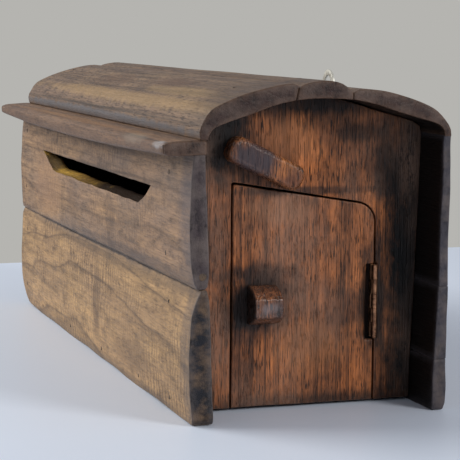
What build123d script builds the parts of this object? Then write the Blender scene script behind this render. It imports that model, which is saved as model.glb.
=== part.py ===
"""Hand-made wooden mailbox: a long case with a barrel roof, a mail slot in one long side and a door in one end.

Frame: +X along the case towards the door end, -Y towards the mail slot side, +Y towards the wall
that the box hangs on, +Z up.  The origin is the middle of the bounding box on the base plane.
Cross sections are drawn across the case, with u measured from the middle of the case and v up.
"""

import os

from build123d import *

os.makedirs("parts", exist_ok=True)

# ---------------------------------------------------------------- driving dimensions, millimetres

case_length = 528.0
case_half_depth = 90.0
ledge_reach = 110.0
hanger_thickness = 2.0
case_middle = (ledge_reach - case_half_depth - hanger_thickness) / 2
front_x = case_length / 2
far_x = -case_length / 2

slot_joint_z = 88.0
ledge_bottom_z = 174.0
ledge_top_z = 183.6
eaves_z = 185.0
wall_lower_joint_z = 35.0
wall_upper_joint_z = 85.0
joint_gap = 0.3

recess_depth = 36.5
panel_front_x = front_x - recess_depth
panel_thickness = 24.0
panel_back_x = panel_front_x - panel_thickness
panel_foot_z = 2.0
far_recess_depth = 14.0
far_panel_thickness = 16.0
far_panel_front_x = far_x + far_recess_depth
far_panel_back_x = far_panel_front_x + far_panel_thickness
floor_bottom_z = 3.0
floor_thickness = 12.0

door_left = -50.0
door_right = 51.8
door_gap = 1.2
door_back_clearance = 0.5
door_corner_radius = 14.0
door_left_top_z = 152.5
door_right_top_z = 135.8
closing_edge_relief = 2.6
closing_edge_land = 1.5

hinge_low_z = 45.5
hinge_height = 49.5
knuckle_count = 5
knuckle_length = hinge_height / knuckle_count
knuckle_play = 0.15
barrel_radius = 2.4
pin_radius = 1.2
pin_play = 0.05
pin_head_height = 0.7
pin_head_radius = 2.0
pin_room = 1.0
hinge_x = panel_front_x + 0.5
hinge_u = door_right + door_gap / 2
leaf_thickness = 1.2
leaf_depth = 15.0
leaf_bite = 0.1
barrel_clearance = 0.8
leaf_clearance = 0.05
pocket_width = 6.2
pocket_depth = 5.0

latch_length = 56.0
latch_width = 18.0
latch_thickness = 13.5
latch_pivot_inset = 9.0
latch_pivot_u = -47.6
latch_pivot_z = 174.7
latch_rest_angle = 64.0
latch_float = 0.5

knob_width = 20.0
knob_height = 26.0
knob_reach = 18.0
knob_u = -29.7
knob_z = 71.5

brad_radius = 0.9
brad_head_radius = 1.6
brad_head_thickness = 0.8
brad_sink = 0.6
wood_play = 0.05

screw_radius = 1.6
screw_head_radius = 3.0
screw_head_height = 1.6

hanger_x = 41.5
hanger_width = 22.0
hanger_low_z = 108.0
hanger_eye_z = 212.0
hanger_eye_radius = 6.5


def across(x):
    """A plane across the case at x, with u towards the wall and v up."""
    return Plane(origin=(x, case_middle, 0), x_dir=(0, 1, 0), z_dir=(1, 0, 0))


def slot_face(u):
    """A plane along the case at u, facing the slot side, with local x along the case and y up."""
    return Plane.XZ.offset(-(case_middle + u))


def wall_face(u):
    """A plane along the case at u, facing the wall side, with local x against +X and y up."""
    return Plane(origin=(0, case_middle + u, 0), x_dir=(-1, 0, 0), z_dir=(0, 1, 0))


def stepped_pegs(plane, places, peg, play=0.0, mode=Mode.ADD):
    """Drive nails or screws down from a plane: a head, then a thinner shank.

    peg holds head radius, head thickness, shank radius and shank length.  With play the same call
    cuts the holes they sit in, open at the surface.
    """
    head_radius, head_thickness, shank_radius, shank_length = peg
    mouth = 3.0 if play else 0.0
    with BuildSketch(plane.offset(mouth)) as heads:
        with Locations(*places):
            Circle(head_radius + play)
    extrude(heads.sketch, amount=-(mouth + head_thickness + play), mode=mode)
    with BuildSketch(plane.offset(-head_thickness)) as shanks:
        with Locations(*places):
            Circle(shank_radius + play)
    extrude(shanks.sketch, amount=-(shank_length + play), mode=mode)


def save(piece, name):
    """Label a finished piece and write it as one STEP file."""
    piece.part.label = name
    export_step(piece.part, f"parts/{name}.step")


# ------------------------------------------------------------------------------ nail positions

brad = (brad_head_radius, brad_head_thickness, brad_radius)
slot_brad = (*brad, 28.0)
wall_brad = (*brad, 22.0)
roof_brad = (*brad, 24.0)

far_panel_middle_x = (far_panel_front_x + far_panel_back_x) / 2
panel_middle_x = (panel_front_x + panel_back_x) / 2
floor_brad_z = floor_bottom_z + floor_thickness / 2
floor_brad_xs = (-180.0, -75.0, 30.0, 137.0)

slot_lower_brads = [(216, 10), (210, 73), (far_panel_middle_x, 20), (far_panel_middle_x, 70)]
slot_lower_brads += [(x, floor_brad_z) for x in floor_brad_xs]
slot_upper_brads = [(207, 106), (212, 160), (far_panel_middle_x, 110), (far_panel_middle_x, 160)]
wall_brads = [(-x, z) for x in (panel_middle_x, far_panel_middle_x) for z in (20, 62, 105, 160)]
wall_brads += [(-x, floor_brad_z) for x in floor_brad_xs]
roof_brad_rows = [(-45.0, 215.4), (0.0, 220.5), (52.0, 211.8)]
roof_brad_xs = (panel_middle_x, far_panel_middle_x)

slot_brad_plane = slot_face(-case_half_depth + brad_sink)
wall_brad_plane = wall_face(case_half_depth - brad_sink)


def roof_brad_row(row, play=0.0, mode=Mode.ADD):
    """The brads that hold one roof stave down on both end panels."""
    u, top_z = roof_brad_rows[row]
    places = [(x, case_middle + u) for x in roof_brad_xs]
    stepped_pegs(Plane.XY.offset(top_z), places, roof_brad, play, mode)


# ------------------------------------------------------------------------------- slot-side wall

slot_foot_inner = (-74.4, 0.0)
slot_foot_outer = (-89.4, 0.0)
slot_lower_belly = (-90.5, 44.0)
slot_lower_top_outer = (-87.0, slot_joint_z)
slot_lower_top_inner = (-77.0, slot_joint_z)
slot_upper_foot_outer = (-87.0, slot_joint_z + joint_gap)
slot_upper_belly = (-90.3, 132.0)
slot_upper_top_outer = (-88.0, ledge_bottom_z)
slot_upper_top_inner = (-81.0, ledge_bottom_z)
slot_upper_foot_inner = (-77.8, slot_joint_z + joint_gap)
far_foot_radius = 30.0
front_foot_radius = 5.0

with BuildPart() as slot_wall_lower_board:
    with BuildSketch(across(far_x)):
        with BuildLine():
            Polyline(slot_lower_top_outer, slot_lower_top_inner, slot_foot_inner, slot_foot_outer)
            ThreePointArc(slot_foot_outer, slot_lower_belly, slot_lower_top_outer)
        make_face()
    extrude(amount=case_length)
    foot_edges = slot_wall_lower_board.edges().filter_by(Axis.Y).group_by(Axis.Z)[0].sort_by(Axis.X)
    fillet(foot_edges[0], radius=far_foot_radius)
    foot_edges = slot_wall_lower_board.edges().filter_by(Axis.Y).group_by(Axis.Z)[0].sort_by(Axis.X)
    fillet(foot_edges[-1], radius=front_foot_radius)
    stepped_pegs(slot_brad_plane, slot_lower_brads, slot_brad, wood_play, Mode.SUBTRACT)
save(slot_wall_lower_board, "slot_wall_lower_board")

# the mail slot is longer along its top edge than along its bottom edge
mail_slot_corners = [(-170.0, 147.2), (170.5, 147.2), (141.0, 134.0), (-128.0, 134.0)]
mail_slot_depth = 24.0
edge_dowel_radius = 2.8
edge_dowel_length = 22.0
edge_dowel_place = (-82.6, 97.5)

with BuildPart() as slot_wall_upper_board:
    with BuildSketch(across(far_x)):
        with BuildLine():
            Polyline(slot_upper_top_outer, slot_upper_top_inner, slot_upper_foot_inner, slot_upper_foot_outer)
            ThreePointArc(slot_upper_foot_outer, slot_upper_belly, slot_upper_top_outer)
        make_face()
    extrude(amount=case_length)
    with BuildSketch(slot_face(-case_half_depth - joint_gap * 4)):
        Polygon(*mail_slot_corners, align=None)
    extrude(amount=-mail_slot_depth, mode=Mode.SUBTRACT)
    with BuildSketch(across(front_x)):
        with Locations(edge_dowel_place):
            Circle(edge_dowel_radius + wood_play)
    extrude(amount=-edge_dowel_length - wood_play, mode=Mode.SUBTRACT)
    stepped_pegs(slot_brad_plane, slot_upper_brads, slot_brad, wood_play, Mode.SUBTRACT)
save(slot_wall_upper_board, "slot_wall_upper_board")

with BuildPart() as edge_dowel:
    with BuildSketch(across(front_x)):
        with Locations(edge_dowel_place):
            Circle(edge_dowel_radius)
    extrude(amount=-edge_dowel_length)
save(edge_dowel, "edge_dowel")

# ------------------------------------------------------------------------------------ rain ledge

ledge_inner_u = -79.6
ledge_lip_u = -92.0
ledge_nose_u = -106.0
ledge_nose_z = (ledge_bottom_z + joint_gap + ledge_top_z) / 2
ledge_bow = 4.5

with BuildPart() as rain_ledge:
    with BuildSketch(across(far_x)):
        with BuildLine():
            Polyline(
                (ledge_nose_u, ledge_top_z),
                (ledge_inner_u, ledge_top_z),
                (ledge_inner_u, ledge_bottom_z + joint_gap),
                (ledge_nose_u, ledge_bottom_z + joint_gap),
            )
            ThreePointArc(
                (ledge_nose_u, ledge_bottom_z + joint_gap),
                (-ledge_reach, ledge_nose_z),
                (ledge_nose_u, ledge_top_z),
            )
        make_face()
    extrude(amount=case_length)
    # the overhanging lip hangs a little lower in the middle of its length
    with BuildSketch(slot_face(ledge_nose_u)):
        with BuildLine():
            Line((far_x, ledge_nose_z), (front_x, ledge_nose_z))
            Line((front_x, ledge_nose_z), (front_x, ledge_bottom_z + joint_gap))
            ThreePointArc(
                (front_x, ledge_bottom_z + joint_gap),
                (0, ledge_bottom_z - ledge_bow),
                (far_x, ledge_bottom_z + joint_gap),
            )
            Line((far_x, ledge_bottom_z + joint_gap), (far_x, ledge_nose_z))
        make_face()
    extrude(amount=ledge_nose_u - ledge_lip_u)
save(rain_ledge, "rain_ledge")

# ------------------------------------------------------------------------------------------ roof

slot_side_joint_outer = (-18.3, 217.5)
slot_side_joint_inner = (-20.0, 209.0)
wall_side_joint_outer = (19.5, 213.8)
wall_side_joint_inner = (19.5, 209.6)
slot_eave_inner = (-75.8, 190.8)
wall_eave_inner = (78.0, 193.8)
stave_gap = 0.25

with BuildPart() as roof_slot_side_stave:
    with BuildSketch(across(far_x)):
        with BuildLine():
            Polyline((ledge_inner_u, ledge_top_z), (-84.7, ledge_top_z), (-84.7, 190.0))
            ThreePointArc((-84.7, 190.0), (-79.8, 200.8), (-68.3, 207.6))
            ThreePointArc((-68.3, 207.6), (-45.0, 216.2), (-24.9, 219.2))
            Polyline((-24.9, 219.2), slot_side_joint_outer, slot_side_joint_inner)
            ThreePointArc(slot_side_joint_inner, (-47.0, 201.6), slot_eave_inner)
            Line(slot_eave_inner, (ledge_inner_u, ledge_top_z))
        make_face()
    extrude(amount=case_length)
    roof_brad_row(0, wood_play, Mode.SUBTRACT)
save(roof_slot_side_stave, "roof_slot_side_stave")

with BuildPart() as roof_ridge_stave:
    with BuildSketch(across(far_x)):
        ridge_left_outer = (slot_side_joint_outer[0] + stave_gap, slot_side_joint_outer[1])
        ridge_left_inner = (slot_side_joint_inner[0] + stave_gap, slot_side_joint_inner[1])
        with BuildLine():
            Polyline(ridge_left_inner, ridge_left_outer, (-13.7, 218.6))
            ThreePointArc((-13.7, 218.6), (0.0, 221.2), (12.0, 218.4))
            Polyline((12.0, 218.4), wall_side_joint_outer, wall_side_joint_inner)
            ThreePointArc(wall_side_joint_inner, (0.0, 210.2), ridge_left_inner)
        make_face()
    extrude(amount=case_length)
    roof_brad_row(1, wood_play, Mode.SUBTRACT)
save(roof_ridge_stave, "roof_ridge_stave")

with BuildPart() as roof_wall_side_stave:
    with BuildSketch(across(far_x)):
        wall_left_outer = (wall_side_joint_outer[0] + stave_gap, wall_side_joint_outer[1])
        wall_left_inner = (wall_side_joint_inner[0] + stave_gap, wall_side_joint_inner[1])
        with BuildLine():
            Polyline(wall_left_inner, wall_left_outer, (28.0, 215.5))
            ThreePointArc((28.0, 215.5), (56.0, 211.2), (78.0, 202.0))
            ThreePointArc((78.0, 202.0), (86.8, 194.6), (case_half_depth, eaves_z))
            Polyline((case_half_depth, eaves_z), (85.6, eaves_z), (84.4, 190.2), wall_eave_inner)
            ThreePointArc(wall_eave_inner, (52.0, 201.0), wall_left_inner)
        make_face()
    extrude(amount=case_length)
    roof_brad_row(2, wood_play, Mode.SUBTRACT)
save(roof_wall_side_stave, "roof_wall_side_stave")

# ------------------------------------------------------------------------------- wall-side boards

hanger_screw_zs = (116.0, 140.0, 164.0)
hanger_screw = (2.8, 1.2, 1.3, 2.8)
hanger_plane = wall_face(case_half_depth + hanger_thickness)
hanger_places = [(-hanger_x, z) for z in hanger_screw_zs]

with BuildPart() as wall_side_upper_board:
    with BuildSketch(across(far_x)):
        Polygon(
            (case_half_depth, eaves_z - joint_gap),
            (85.6, eaves_z - joint_gap),
            (82.8, wall_upper_joint_z + joint_gap / 2),
            (case_half_depth, wall_upper_joint_z + joint_gap / 2),
            align=None,
        )
    extrude(amount=case_length)
    stepped_pegs(wall_brad_plane, wall_brads, wall_brad, wood_play, Mode.SUBTRACT)
    stepped_pegs(hanger_plane, hanger_places, hanger_screw, wood_play, Mode.SUBTRACT)
save(wall_side_upper_board, "wall_side_upper_board")

with BuildPart() as wall_side_middle_board:
    with BuildSketch(across(far_x)):
        Polygon(
            (case_half_depth, wall_upper_joint_z - joint_gap / 2),
            (82.6, wall_upper_joint_z - joint_gap / 2),
            (80.7, wall_lower_joint_z + joint_gap / 2),
            (case_half_depth, wall_lower_joint_z + joint_gap / 2),
            align=None,
        )
    extrude(amount=case_length)
    stepped_pegs(wall_brad_plane, wall_brads, wall_brad, wood_play, Mode.SUBTRACT)
save(wall_side_middle_board, "wall_side_middle_board")

with BuildPart() as wall_side_lower_board:
    with BuildSketch(across(far_x)):
        Polygon(
            (case_half_depth, wall_lower_joint_z - joint_gap / 2),
            (80.6, wall_lower_joint_z - joint_gap / 2),
            (79.9, 0.0),
            (84.6, 0.0),
            (88.2, 2.4),
            (case_half_depth, 8.0),
            align=None,
        )
    extrude(amount=case_length)
    stepped_pegs(wall_brad_plane, wall_brads, wall_brad, wood_play, Mode.SUBTRACT)
save(wall_side_lower_board, "wall_side_lower_board")

# ------------------------------------------------------------------------------------ end panels


def panel_outline():
    """The outline that fills the inside of the case, just clear of its boards and staves."""
    with BuildLine() as outline:
        Polyline((79.5, panel_foot_z), (-74.0, panel_foot_z), (-76.6, slot_joint_z), (-79.2, 173.4))
        Polyline((-79.2, 173.4), (-79.2, ledge_top_z), (-75.5, 190.4))
        ThreePointArc((-75.5, 190.4), (-47.0, 201.2), (-20.0, 208.6))
        ThreePointArc((-20.0, 208.6), (0.0, 209.8), (19.5, 209.2))
        ThreePointArc((19.5, 209.2), (51.8, 200.6), (77.8, 193.4))
        Polyline((77.8, 193.4), (84.0, 189.8), (85.2, eaves_z), (82.3, wall_upper_joint_z))
        Polyline((82.3, wall_upper_joint_z), (80.3, wall_lower_joint_z), (79.5, panel_foot_z))
    make_face(outline.edges())


def door_outline(margin):
    """The door's outline, grown by a margin: straight sides, a sloping top and one round corner."""
    slope = (door_right_top_z - door_left_top_z) / (door_right - door_left)
    left = door_left - margin
    right = door_right + margin
    foot_z = panel_foot_z - 2 * margin
    with BuildLine() as outline:
        FilletPolyline(
            (left, foot_z),
            (left, door_left_top_z + margin - slope * margin),
            (right, door_right_top_z + margin + slope * margin),
            (right, foot_z),
            radius=[0.8 + margin, door_corner_radius + margin],
        )
        Line((right, foot_z), (left, foot_z))
    make_face(outline.edges())


def end_panel_brads(play):
    """Cut the holes of every brad that ends in an end panel."""
    stepped_pegs(slot_brad_plane, slot_lower_brads + slot_upper_brads, slot_brad, play, Mode.SUBTRACT)
    stepped_pegs(wall_brad_plane, wall_brads, wall_brad, play, Mode.SUBTRACT)
    for row in range(len(roof_brad_rows)):
        roof_brad_row(row, play, Mode.SUBTRACT)


hinge_top_z = hinge_low_z + hinge_height
frame_leaf_u = door_right + door_gap + leaf_bite
door_leaf_u = door_right - leaf_bite - leaf_thickness
leaf_front_x = hinge_x - 1.0
leaf_screw_zs = (hinge_low_z + 10.0, hinge_low_z + hinge_height / 2, hinge_top_z - 10.0)
leaf_screw_x = leaf_front_x - 9.0
leaf_screw = (2.2, 1.0, 1.1, 11.0)
frame_screw_places = [(leaf_screw_x, z) for z in leaf_screw_zs]
door_screw_places = [(-leaf_screw_x, z) for z in leaf_screw_zs]
frame_screw_plane = slot_face(frame_leaf_u)
door_screw_plane = wall_face(door_leaf_u + leaf_thickness)

latch_screw = (4.0, 2.4, 2.0, panel_thickness - 2.4 + latch_float + 9.0)
latch_screw_plane = Plane(origin=(panel_back_x, case_middle, 0), x_dir=(0, -1, 0), z_dir=(-1, 0, 0))
latch_screw_place = [(-latch_pivot_u, latch_pivot_z)]

cleat_brad_zs = (40.0, 120.0)
cleat_u = -56.0
cleat_width = 18.0
cleat_thickness = 12.0
cleat_plane = Plane(
    origin=(panel_back_x - cleat_thickness, case_middle, 0), x_dir=(0, -1, 0), z_dir=(-1, 0, 0)
)
cleat_brad = (*brad, 22.0)
cleat_brad_places = [(-(cleat_u - 4.0), z) for z in cleat_brad_zs]

with BuildPart() as door_end_panel:
    with BuildSketch(across(panel_back_x)):
        panel_outline()
    extrude(amount=panel_thickness)
    with BuildSketch(across(panel_back_x)):
        door_outline(door_gap)
    extrude(amount=panel_thickness, mode=Mode.SUBTRACT)
    # mortise for the fixed hinge leaf, and room for the barrel
    with BuildSketch(across(panel_back_x)):
        with Locations((door_right + door_gap, hinge_low_z + hinge_height / 2)):
            leaf_room = leaf_bite + leaf_thickness + leaf_clearance
            Rectangle(2 * leaf_room, hinge_height + 2 * leaf_clearance)
    extrude(amount=panel_thickness, mode=Mode.SUBTRACT)
    with BuildSketch(Plane.XY.offset(hinge_low_z - pin_room)):
        with Locations((hinge_x, case_middle + hinge_u)):
            Circle(barrel_radius + barrel_clearance)
    extrude(amount=hinge_height + 2 * pin_room, mode=Mode.SUBTRACT)
    stepped_pegs(frame_screw_plane, frame_screw_places, leaf_screw, wood_play, Mode.SUBTRACT)
    stepped_pegs(latch_screw_plane, latch_screw_place, latch_screw, wood_play, Mode.SUBTRACT)
    stepped_pegs(cleat_plane, cleat_brad_places, cleat_brad, wood_play, Mode.SUBTRACT)
    end_panel_brads(wood_play)
save(door_end_panel, "door_end_panel")

with BuildPart() as far_end_panel:
    with BuildSketch(across(far_panel_front_x)):
        panel_outline()
    extrude(amount=far_panel_thickness)
    end_panel_brads(wood_play)
save(far_end_panel, "far_end_panel")

# ------------------------------------------------------------------------------ floor and cleat

floor_end_gap = 0.3
floor_left = -73.9
floor_right = 79.3

with BuildPart() as floor_board:
    with BuildSketch(across(far_panel_back_x + floor_end_gap)):
        with Locations(((floor_left + floor_right) / 2, floor_brad_z)):
            Rectangle(floor_right - floor_left, floor_thickness)
    extrude(amount=panel_back_x - far_panel_back_x - 2 * floor_end_gap)
    stepped_pegs(slot_brad_plane, slot_lower_brads, slot_brad, wood_play, Mode.SUBTRACT)
    stepped_pegs(wall_brad_plane, wall_brads, wall_brad, wood_play, Mode.SUBTRACT)
save(floor_board, "floor_board")

cleat_low_z = 22.0
cleat_high_z = 138.0

with BuildPart() as door_stop_cleat:
    with BuildSketch(across(panel_back_x - cleat_thickness)):
        with Locations((cleat_u, (cleat_low_z + cleat_high_z) / 2)):
            Rectangle(cleat_width, cleat_high_z - cleat_low_z)
    extrude(amount=cleat_thickness)
    chamfer(door_stop_cleat.faces().sort_by(Axis.X)[0].edges(), length=1.5)
    stepped_pegs(cleat_plane, cleat_brad_places, cleat_brad, wood_play, Mode.SUBTRACT)
save(door_stop_cleat, "door_stop_cleat")

# ---------------------------------------------------------------------------------------- brads

with BuildPart() as slot_wall_brads:
    stepped_pegs(slot_brad_plane, slot_lower_brads + slot_upper_brads, slot_brad)
save(slot_wall_brads, "slot_wall_brads")

with BuildPart() as wall_side_brads:
    stepped_pegs(wall_brad_plane, wall_brads, wall_brad)
save(wall_side_brads, "wall_side_brads")

with BuildPart() as roof_brads:
    for row in range(len(roof_brad_rows)):
        roof_brad_row(row)
save(roof_brads, "roof_brads")

with BuildPart() as cleat_brads:
    stepped_pegs(cleat_plane, cleat_brad_places, cleat_brad)
save(cleat_brads, "cleat_brads")

# ----------------------------------------------------------------------------------------- door

with BuildPart() as door_board:
    with BuildSketch(across(panel_back_x + door_back_clearance)):
        door_outline(0.0)
    extrude(amount=panel_thickness - door_back_clearance)
    # the closing edge is planed back so that its rear corner clears the frame as the door swings
    with BuildSketch():
        edge_y = case_middle + door_left
        Polygon(
            (panel_back_x, edge_y - 1.0),
            (panel_back_x, edge_y + closing_edge_relief),
            (panel_front_x - closing_edge_land, edge_y),
            (panel_front_x - closing_edge_land, edge_y - 1.0),
            align=None,
        )
    extrude(amount=door_left_top_z + door_gap, mode=Mode.SUBTRACT)
    # the knuckles sit in a pocket chopped into the face and the edge
    with BuildSketch(across(panel_front_x - pocket_depth)):
        with Locations((door_right - pocket_width, hinge_low_z - pin_room)):
            Rectangle(
                2 * pocket_width,
                hinge_height + 2 * pin_room,
                align=(Align.MIN, Align.MIN),
            )
    extrude(amount=2 * pocket_depth, mode=Mode.SUBTRACT)
    with BuildSketch(across(leaf_front_x - leaf_depth - leaf_clearance)):
        with Locations((door_leaf_u - leaf_clearance, hinge_low_z - leaf_clearance)):
            Rectangle(
                2 * pocket_width,
                hinge_height + 2 * leaf_clearance,
                align=(Align.MIN, Align.MIN),
            )
    extrude(amount=leaf_depth, mode=Mode.SUBTRACT)
    stepped_pegs(door_screw_plane, door_screw_places, leaf_screw, wood_play, Mode.SUBTRACT)
    knob_screw = (3.4, 2.0, 1.6, panel_thickness - door_back_clearance - 2.0 + 11.0)
    knob_screw_plane = Plane(
        origin=(panel_back_x + door_back_clearance, case_middle, 0), x_dir=(0, -1, 0), z_dir=(-1, 0, 0)
    )
    knob_screw_place = [(-knob_u, knob_z)]
    stepped_pegs(knob_screw_plane, knob_screw_place, knob_screw, wood_play, Mode.SUBTRACT)
save(door_board, "door_board")

# a half-round block: flat against the door, with three cut facets blended by short curves
knob_shoulder = 4.0
knob_flat = 6.0

with BuildPart() as door_knob:
    with BuildSketch(slot_face(knob_u - knob_width / 2)):
        with BuildLine():
            upper_facet = knob_z + knob_flat
            lower_facet = knob_z - knob_flat
            tip_x = panel_front_x + knob_reach
            shoulder_x = panel_front_x + knob_shoulder
            crown_z = knob_z + knob_height / 2
            root_z = knob_z - knob_height / 2
            Polyline((shoulder_x, root_z), (panel_front_x, root_z), (panel_front_x, crown_z), (shoulder_x, crown_z))
            ThreePointArc((shoulder_x, crown_z), (panel_front_x + 12.6, crown_z - 3.4), (tip_x, upper_facet))
            Line((tip_x, upper_facet), (tip_x, lower_facet))
            ThreePointArc((tip_x, lower_facet), (panel_front_x + 12.6, root_z + 3.4), (shoulder_x, root_z))
        make_face()
    extrude(amount=-knob_width)
    fillet(door_knob.faces().filter_by(Axis.Y).edges().filter_by(Axis.Z).group_by(Axis.X)[-1], radius=1.5)
    stepped_pegs(knob_screw_plane, knob_screw_place, knob_screw, wood_play, Mode.SUBTRACT)
save(door_knob, "door_knob")

with BuildPart() as knob_fixing_screw:
    stepped_pegs(knob_screw_plane, knob_screw_place, knob_screw)
save(knob_fixing_screw, "knob_fixing_screw")

# ---------------------------------------------------------------------------------------- hinge


def hinge_leaf(u, levels, places, screw_plane):
    """One butt hinge leaf: a plate along the timber's edge, and the knuckles on its levels."""
    with BuildSketch(across(leaf_front_x - leaf_depth)) as plate:
        with Locations((u + leaf_thickness / 2, hinge_low_z + hinge_height / 2)):
            Rectangle(leaf_thickness, hinge_height)
    extrude(plate.sketch, amount=leaf_depth)
    with BuildSketch(Plane.XY.offset(hinge_low_z)) as barrel_room:
        with Locations((hinge_x, case_middle + hinge_u)):
            Circle(barrel_radius + barrel_clearance / 2)
    extrude(barrel_room.sketch, amount=hinge_height, mode=Mode.SUBTRACT)
    for level in levels:
        low_z = hinge_low_z + level * knuckle_length + knuckle_play / 2
        with BuildSketch(Plane.XY.offset(low_z)) as knuckle:
            with Locations((hinge_x, case_middle + hinge_u)):
                Circle(barrel_radius)
            with Locations((leaf_front_x - barrel_radius, case_middle + u + leaf_thickness / 2)):
                Rectangle(2 * barrel_radius, leaf_thickness)
            with Locations((hinge_x, case_middle + hinge_u)):
                Circle(pin_radius + pin_play, mode=Mode.SUBTRACT)
        extrude(knuckle.sketch, amount=knuckle_length - knuckle_play)
    stepped_pegs(screw_plane, places, leaf_screw, wood_play, Mode.SUBTRACT)


with BuildPart() as hinge_frame_leaf:
    hinge_leaf(frame_leaf_u, (0, 2, 4), frame_screw_places, frame_screw_plane)
save(hinge_frame_leaf, "hinge_frame_leaf")

with BuildPart() as hinge_door_leaf:
    hinge_leaf(door_leaf_u, (1, 3), door_screw_places, door_screw_plane)
save(hinge_door_leaf, "hinge_door_leaf")

with BuildPart() as hinge_pin:
    with BuildSketch(Plane.XY.offset(hinge_low_z)):
        with Locations((hinge_x, case_middle + hinge_u)):
            Circle(pin_radius)
    extrude(amount=hinge_height)
    with BuildSketch(Plane.XY.offset(hinge_top_z), Plane.XY.offset(hinge_low_z - pin_head_height)):
        with Locations((hinge_x, case_middle + hinge_u)):
            Circle(pin_head_radius)
    extrude(amount=pin_head_height)
save(hinge_pin, "hinge_pin")

with BuildPart() as hinge_frame_screws:
    stepped_pegs(frame_screw_plane, frame_screw_places, leaf_screw)
save(hinge_frame_screws, "hinge_frame_screws")

with BuildPart() as hinge_door_screws:
    stepped_pegs(door_screw_plane, door_screw_places, leaf_screw)
save(hinge_door_screws, "hinge_door_screws")

# ----------------------------------------------------------------------------------- turn latch

latch_plane = Plane(
    origin=(panel_front_x + latch_float, case_middle + latch_pivot_u, latch_pivot_z),
    x_dir=Vector(0, 0, -1).rotate(Axis.X, latch_rest_angle),
    z_dir=(1, 0, 0),
)
latch_end_radius = 7.5
latch_edge_radius = 4.0

with BuildPart() as turn_latch:
    with BuildSketch(latch_plane):
        with Locations((latch_length / 2 - latch_pivot_inset, 0)):
            RectangleRounded(latch_length, latch_width, latch_end_radius)
    extrude(amount=latch_thickness)
    fillet(turn_latch.faces().sort_by(Axis.X)[-1].edges(), radius=latch_edge_radius)
    stepped_pegs(latch_screw_plane, latch_screw_place, latch_screw, wood_play, Mode.SUBTRACT)
save(turn_latch, "turn_latch")

with BuildPart() as latch_pivot_screw:
    stepped_pegs(latch_screw_plane, latch_screw_place, latch_screw)
save(latch_pivot_screw, "latch_pivot_screw")

# --------------------------------------------------------------------------------------- hanger

with BuildPart() as hanger_plate:
    with BuildSketch(wall_face(case_half_depth)):
        with Locations((-hanger_x, (hanger_low_z + hanger_eye_z) / 2)):
            Rectangle(hanger_width, hanger_eye_z - hanger_low_z)
        with Locations((-hanger_x, hanger_eye_z)):
            Circle(hanger_width / 2)
            Circle(hanger_eye_radius, mode=Mode.SUBTRACT)
    extrude(amount=hanger_thickness)
    stepped_pegs(hanger_plane, hanger_places, hanger_screw, wood_play, Mode.SUBTRACT)
save(hanger_plate, "hanger_plate")

with BuildPart() as hanger_screws:
    stepped_pegs(hanger_plane, hanger_places, hanger_screw)
save(hanger_screws, "hanger_screws")
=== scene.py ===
"""Looks of a hand-made wooden mailbox: carved boards, a barrel roof, a hinged end door and its small irons.

Everything is in metres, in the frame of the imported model: +X along the case to the door end, -Y to the
mail slot side, +Y to the wall, +Z up.  Cross sections are written in millimetres as (u, z), with u measured
across the case from its middle.
"""

import logging
import math
from dataclasses import dataclass, field, replace
from enum import Enum
from typing import Callable, Sequence

import bmesh
import bpy
from mathutils import Matrix, Vector, noise
from mathutils.bvhtree import BVHTree


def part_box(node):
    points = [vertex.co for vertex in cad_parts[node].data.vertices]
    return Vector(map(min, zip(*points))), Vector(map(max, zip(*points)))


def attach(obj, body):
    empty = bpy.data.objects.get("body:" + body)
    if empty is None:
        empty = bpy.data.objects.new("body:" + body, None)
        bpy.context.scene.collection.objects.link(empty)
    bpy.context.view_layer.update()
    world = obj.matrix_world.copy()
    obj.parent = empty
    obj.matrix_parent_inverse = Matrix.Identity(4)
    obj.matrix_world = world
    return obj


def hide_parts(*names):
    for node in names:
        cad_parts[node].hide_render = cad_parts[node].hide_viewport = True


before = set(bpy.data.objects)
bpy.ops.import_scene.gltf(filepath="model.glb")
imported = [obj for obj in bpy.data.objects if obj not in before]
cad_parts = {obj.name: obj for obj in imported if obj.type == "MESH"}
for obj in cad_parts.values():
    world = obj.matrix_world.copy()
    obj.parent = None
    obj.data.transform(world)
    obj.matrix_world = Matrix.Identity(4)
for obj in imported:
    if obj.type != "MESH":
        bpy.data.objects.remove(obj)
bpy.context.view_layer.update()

logging.basicConfig(level=logging.INFO, format="%(message)s")
LOG = logging.getLogger("mailbox")

MM = 0.001
HALF_WIDTH = 90.0
Colour = tuple[float, float, float]
Corner = tuple[float, float, float]
Point = tuple[float, float]
Piece = bpy.types.Object
Material = bpy.types.Material
Socket = bpy.types.NodeSocket
WorkMesh = bmesh.types.BMesh

CASE_BODY = "case"
DOOR_BODY = "door"
LATCH_BODY = "latch"

CASE_LOW, CASE_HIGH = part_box("slot_wall_lower_board")
CASE_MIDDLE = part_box("wall_side_middle_board")[1][1] - HALF_WIDTH * MM
FAR_X = CASE_LOW[0]
FRONT_X = CASE_HIGH[0]
CASE_LENGTH = FRONT_X - FAR_X
PANEL_FRONT_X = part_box("door_end_panel")[1][0]
PANEL_BACK_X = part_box("door_end_panel")[0][0]
SURFACES: dict[str, BVHTree] = {}


def rgb(red: int, green: int, blue: int) -> Colour:
    """Turn display values into the linear values a shader takes.

    Args:
        red: the red, from 0 to 255.
        green: the green.
        blue: the blue.

    Returns:
        The linear colour.
    """

    def linear(value: int) -> float:
        """One channel from display to linear."""
        v = value / 255
        return v / 12.92 if v <= 0.04045 else ((v + 0.055) / 1.055) ** 2.4

    return (linear(red), linear(green), linear(blue))


def smooth(low: float, high: float, value: float) -> float:
    """A soft step from 0 at low to 1 at high."""
    t = min(1.0, max(0.0, (value - low) / (high - low)))
    return t * t * (3 - 2 * t)


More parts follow.
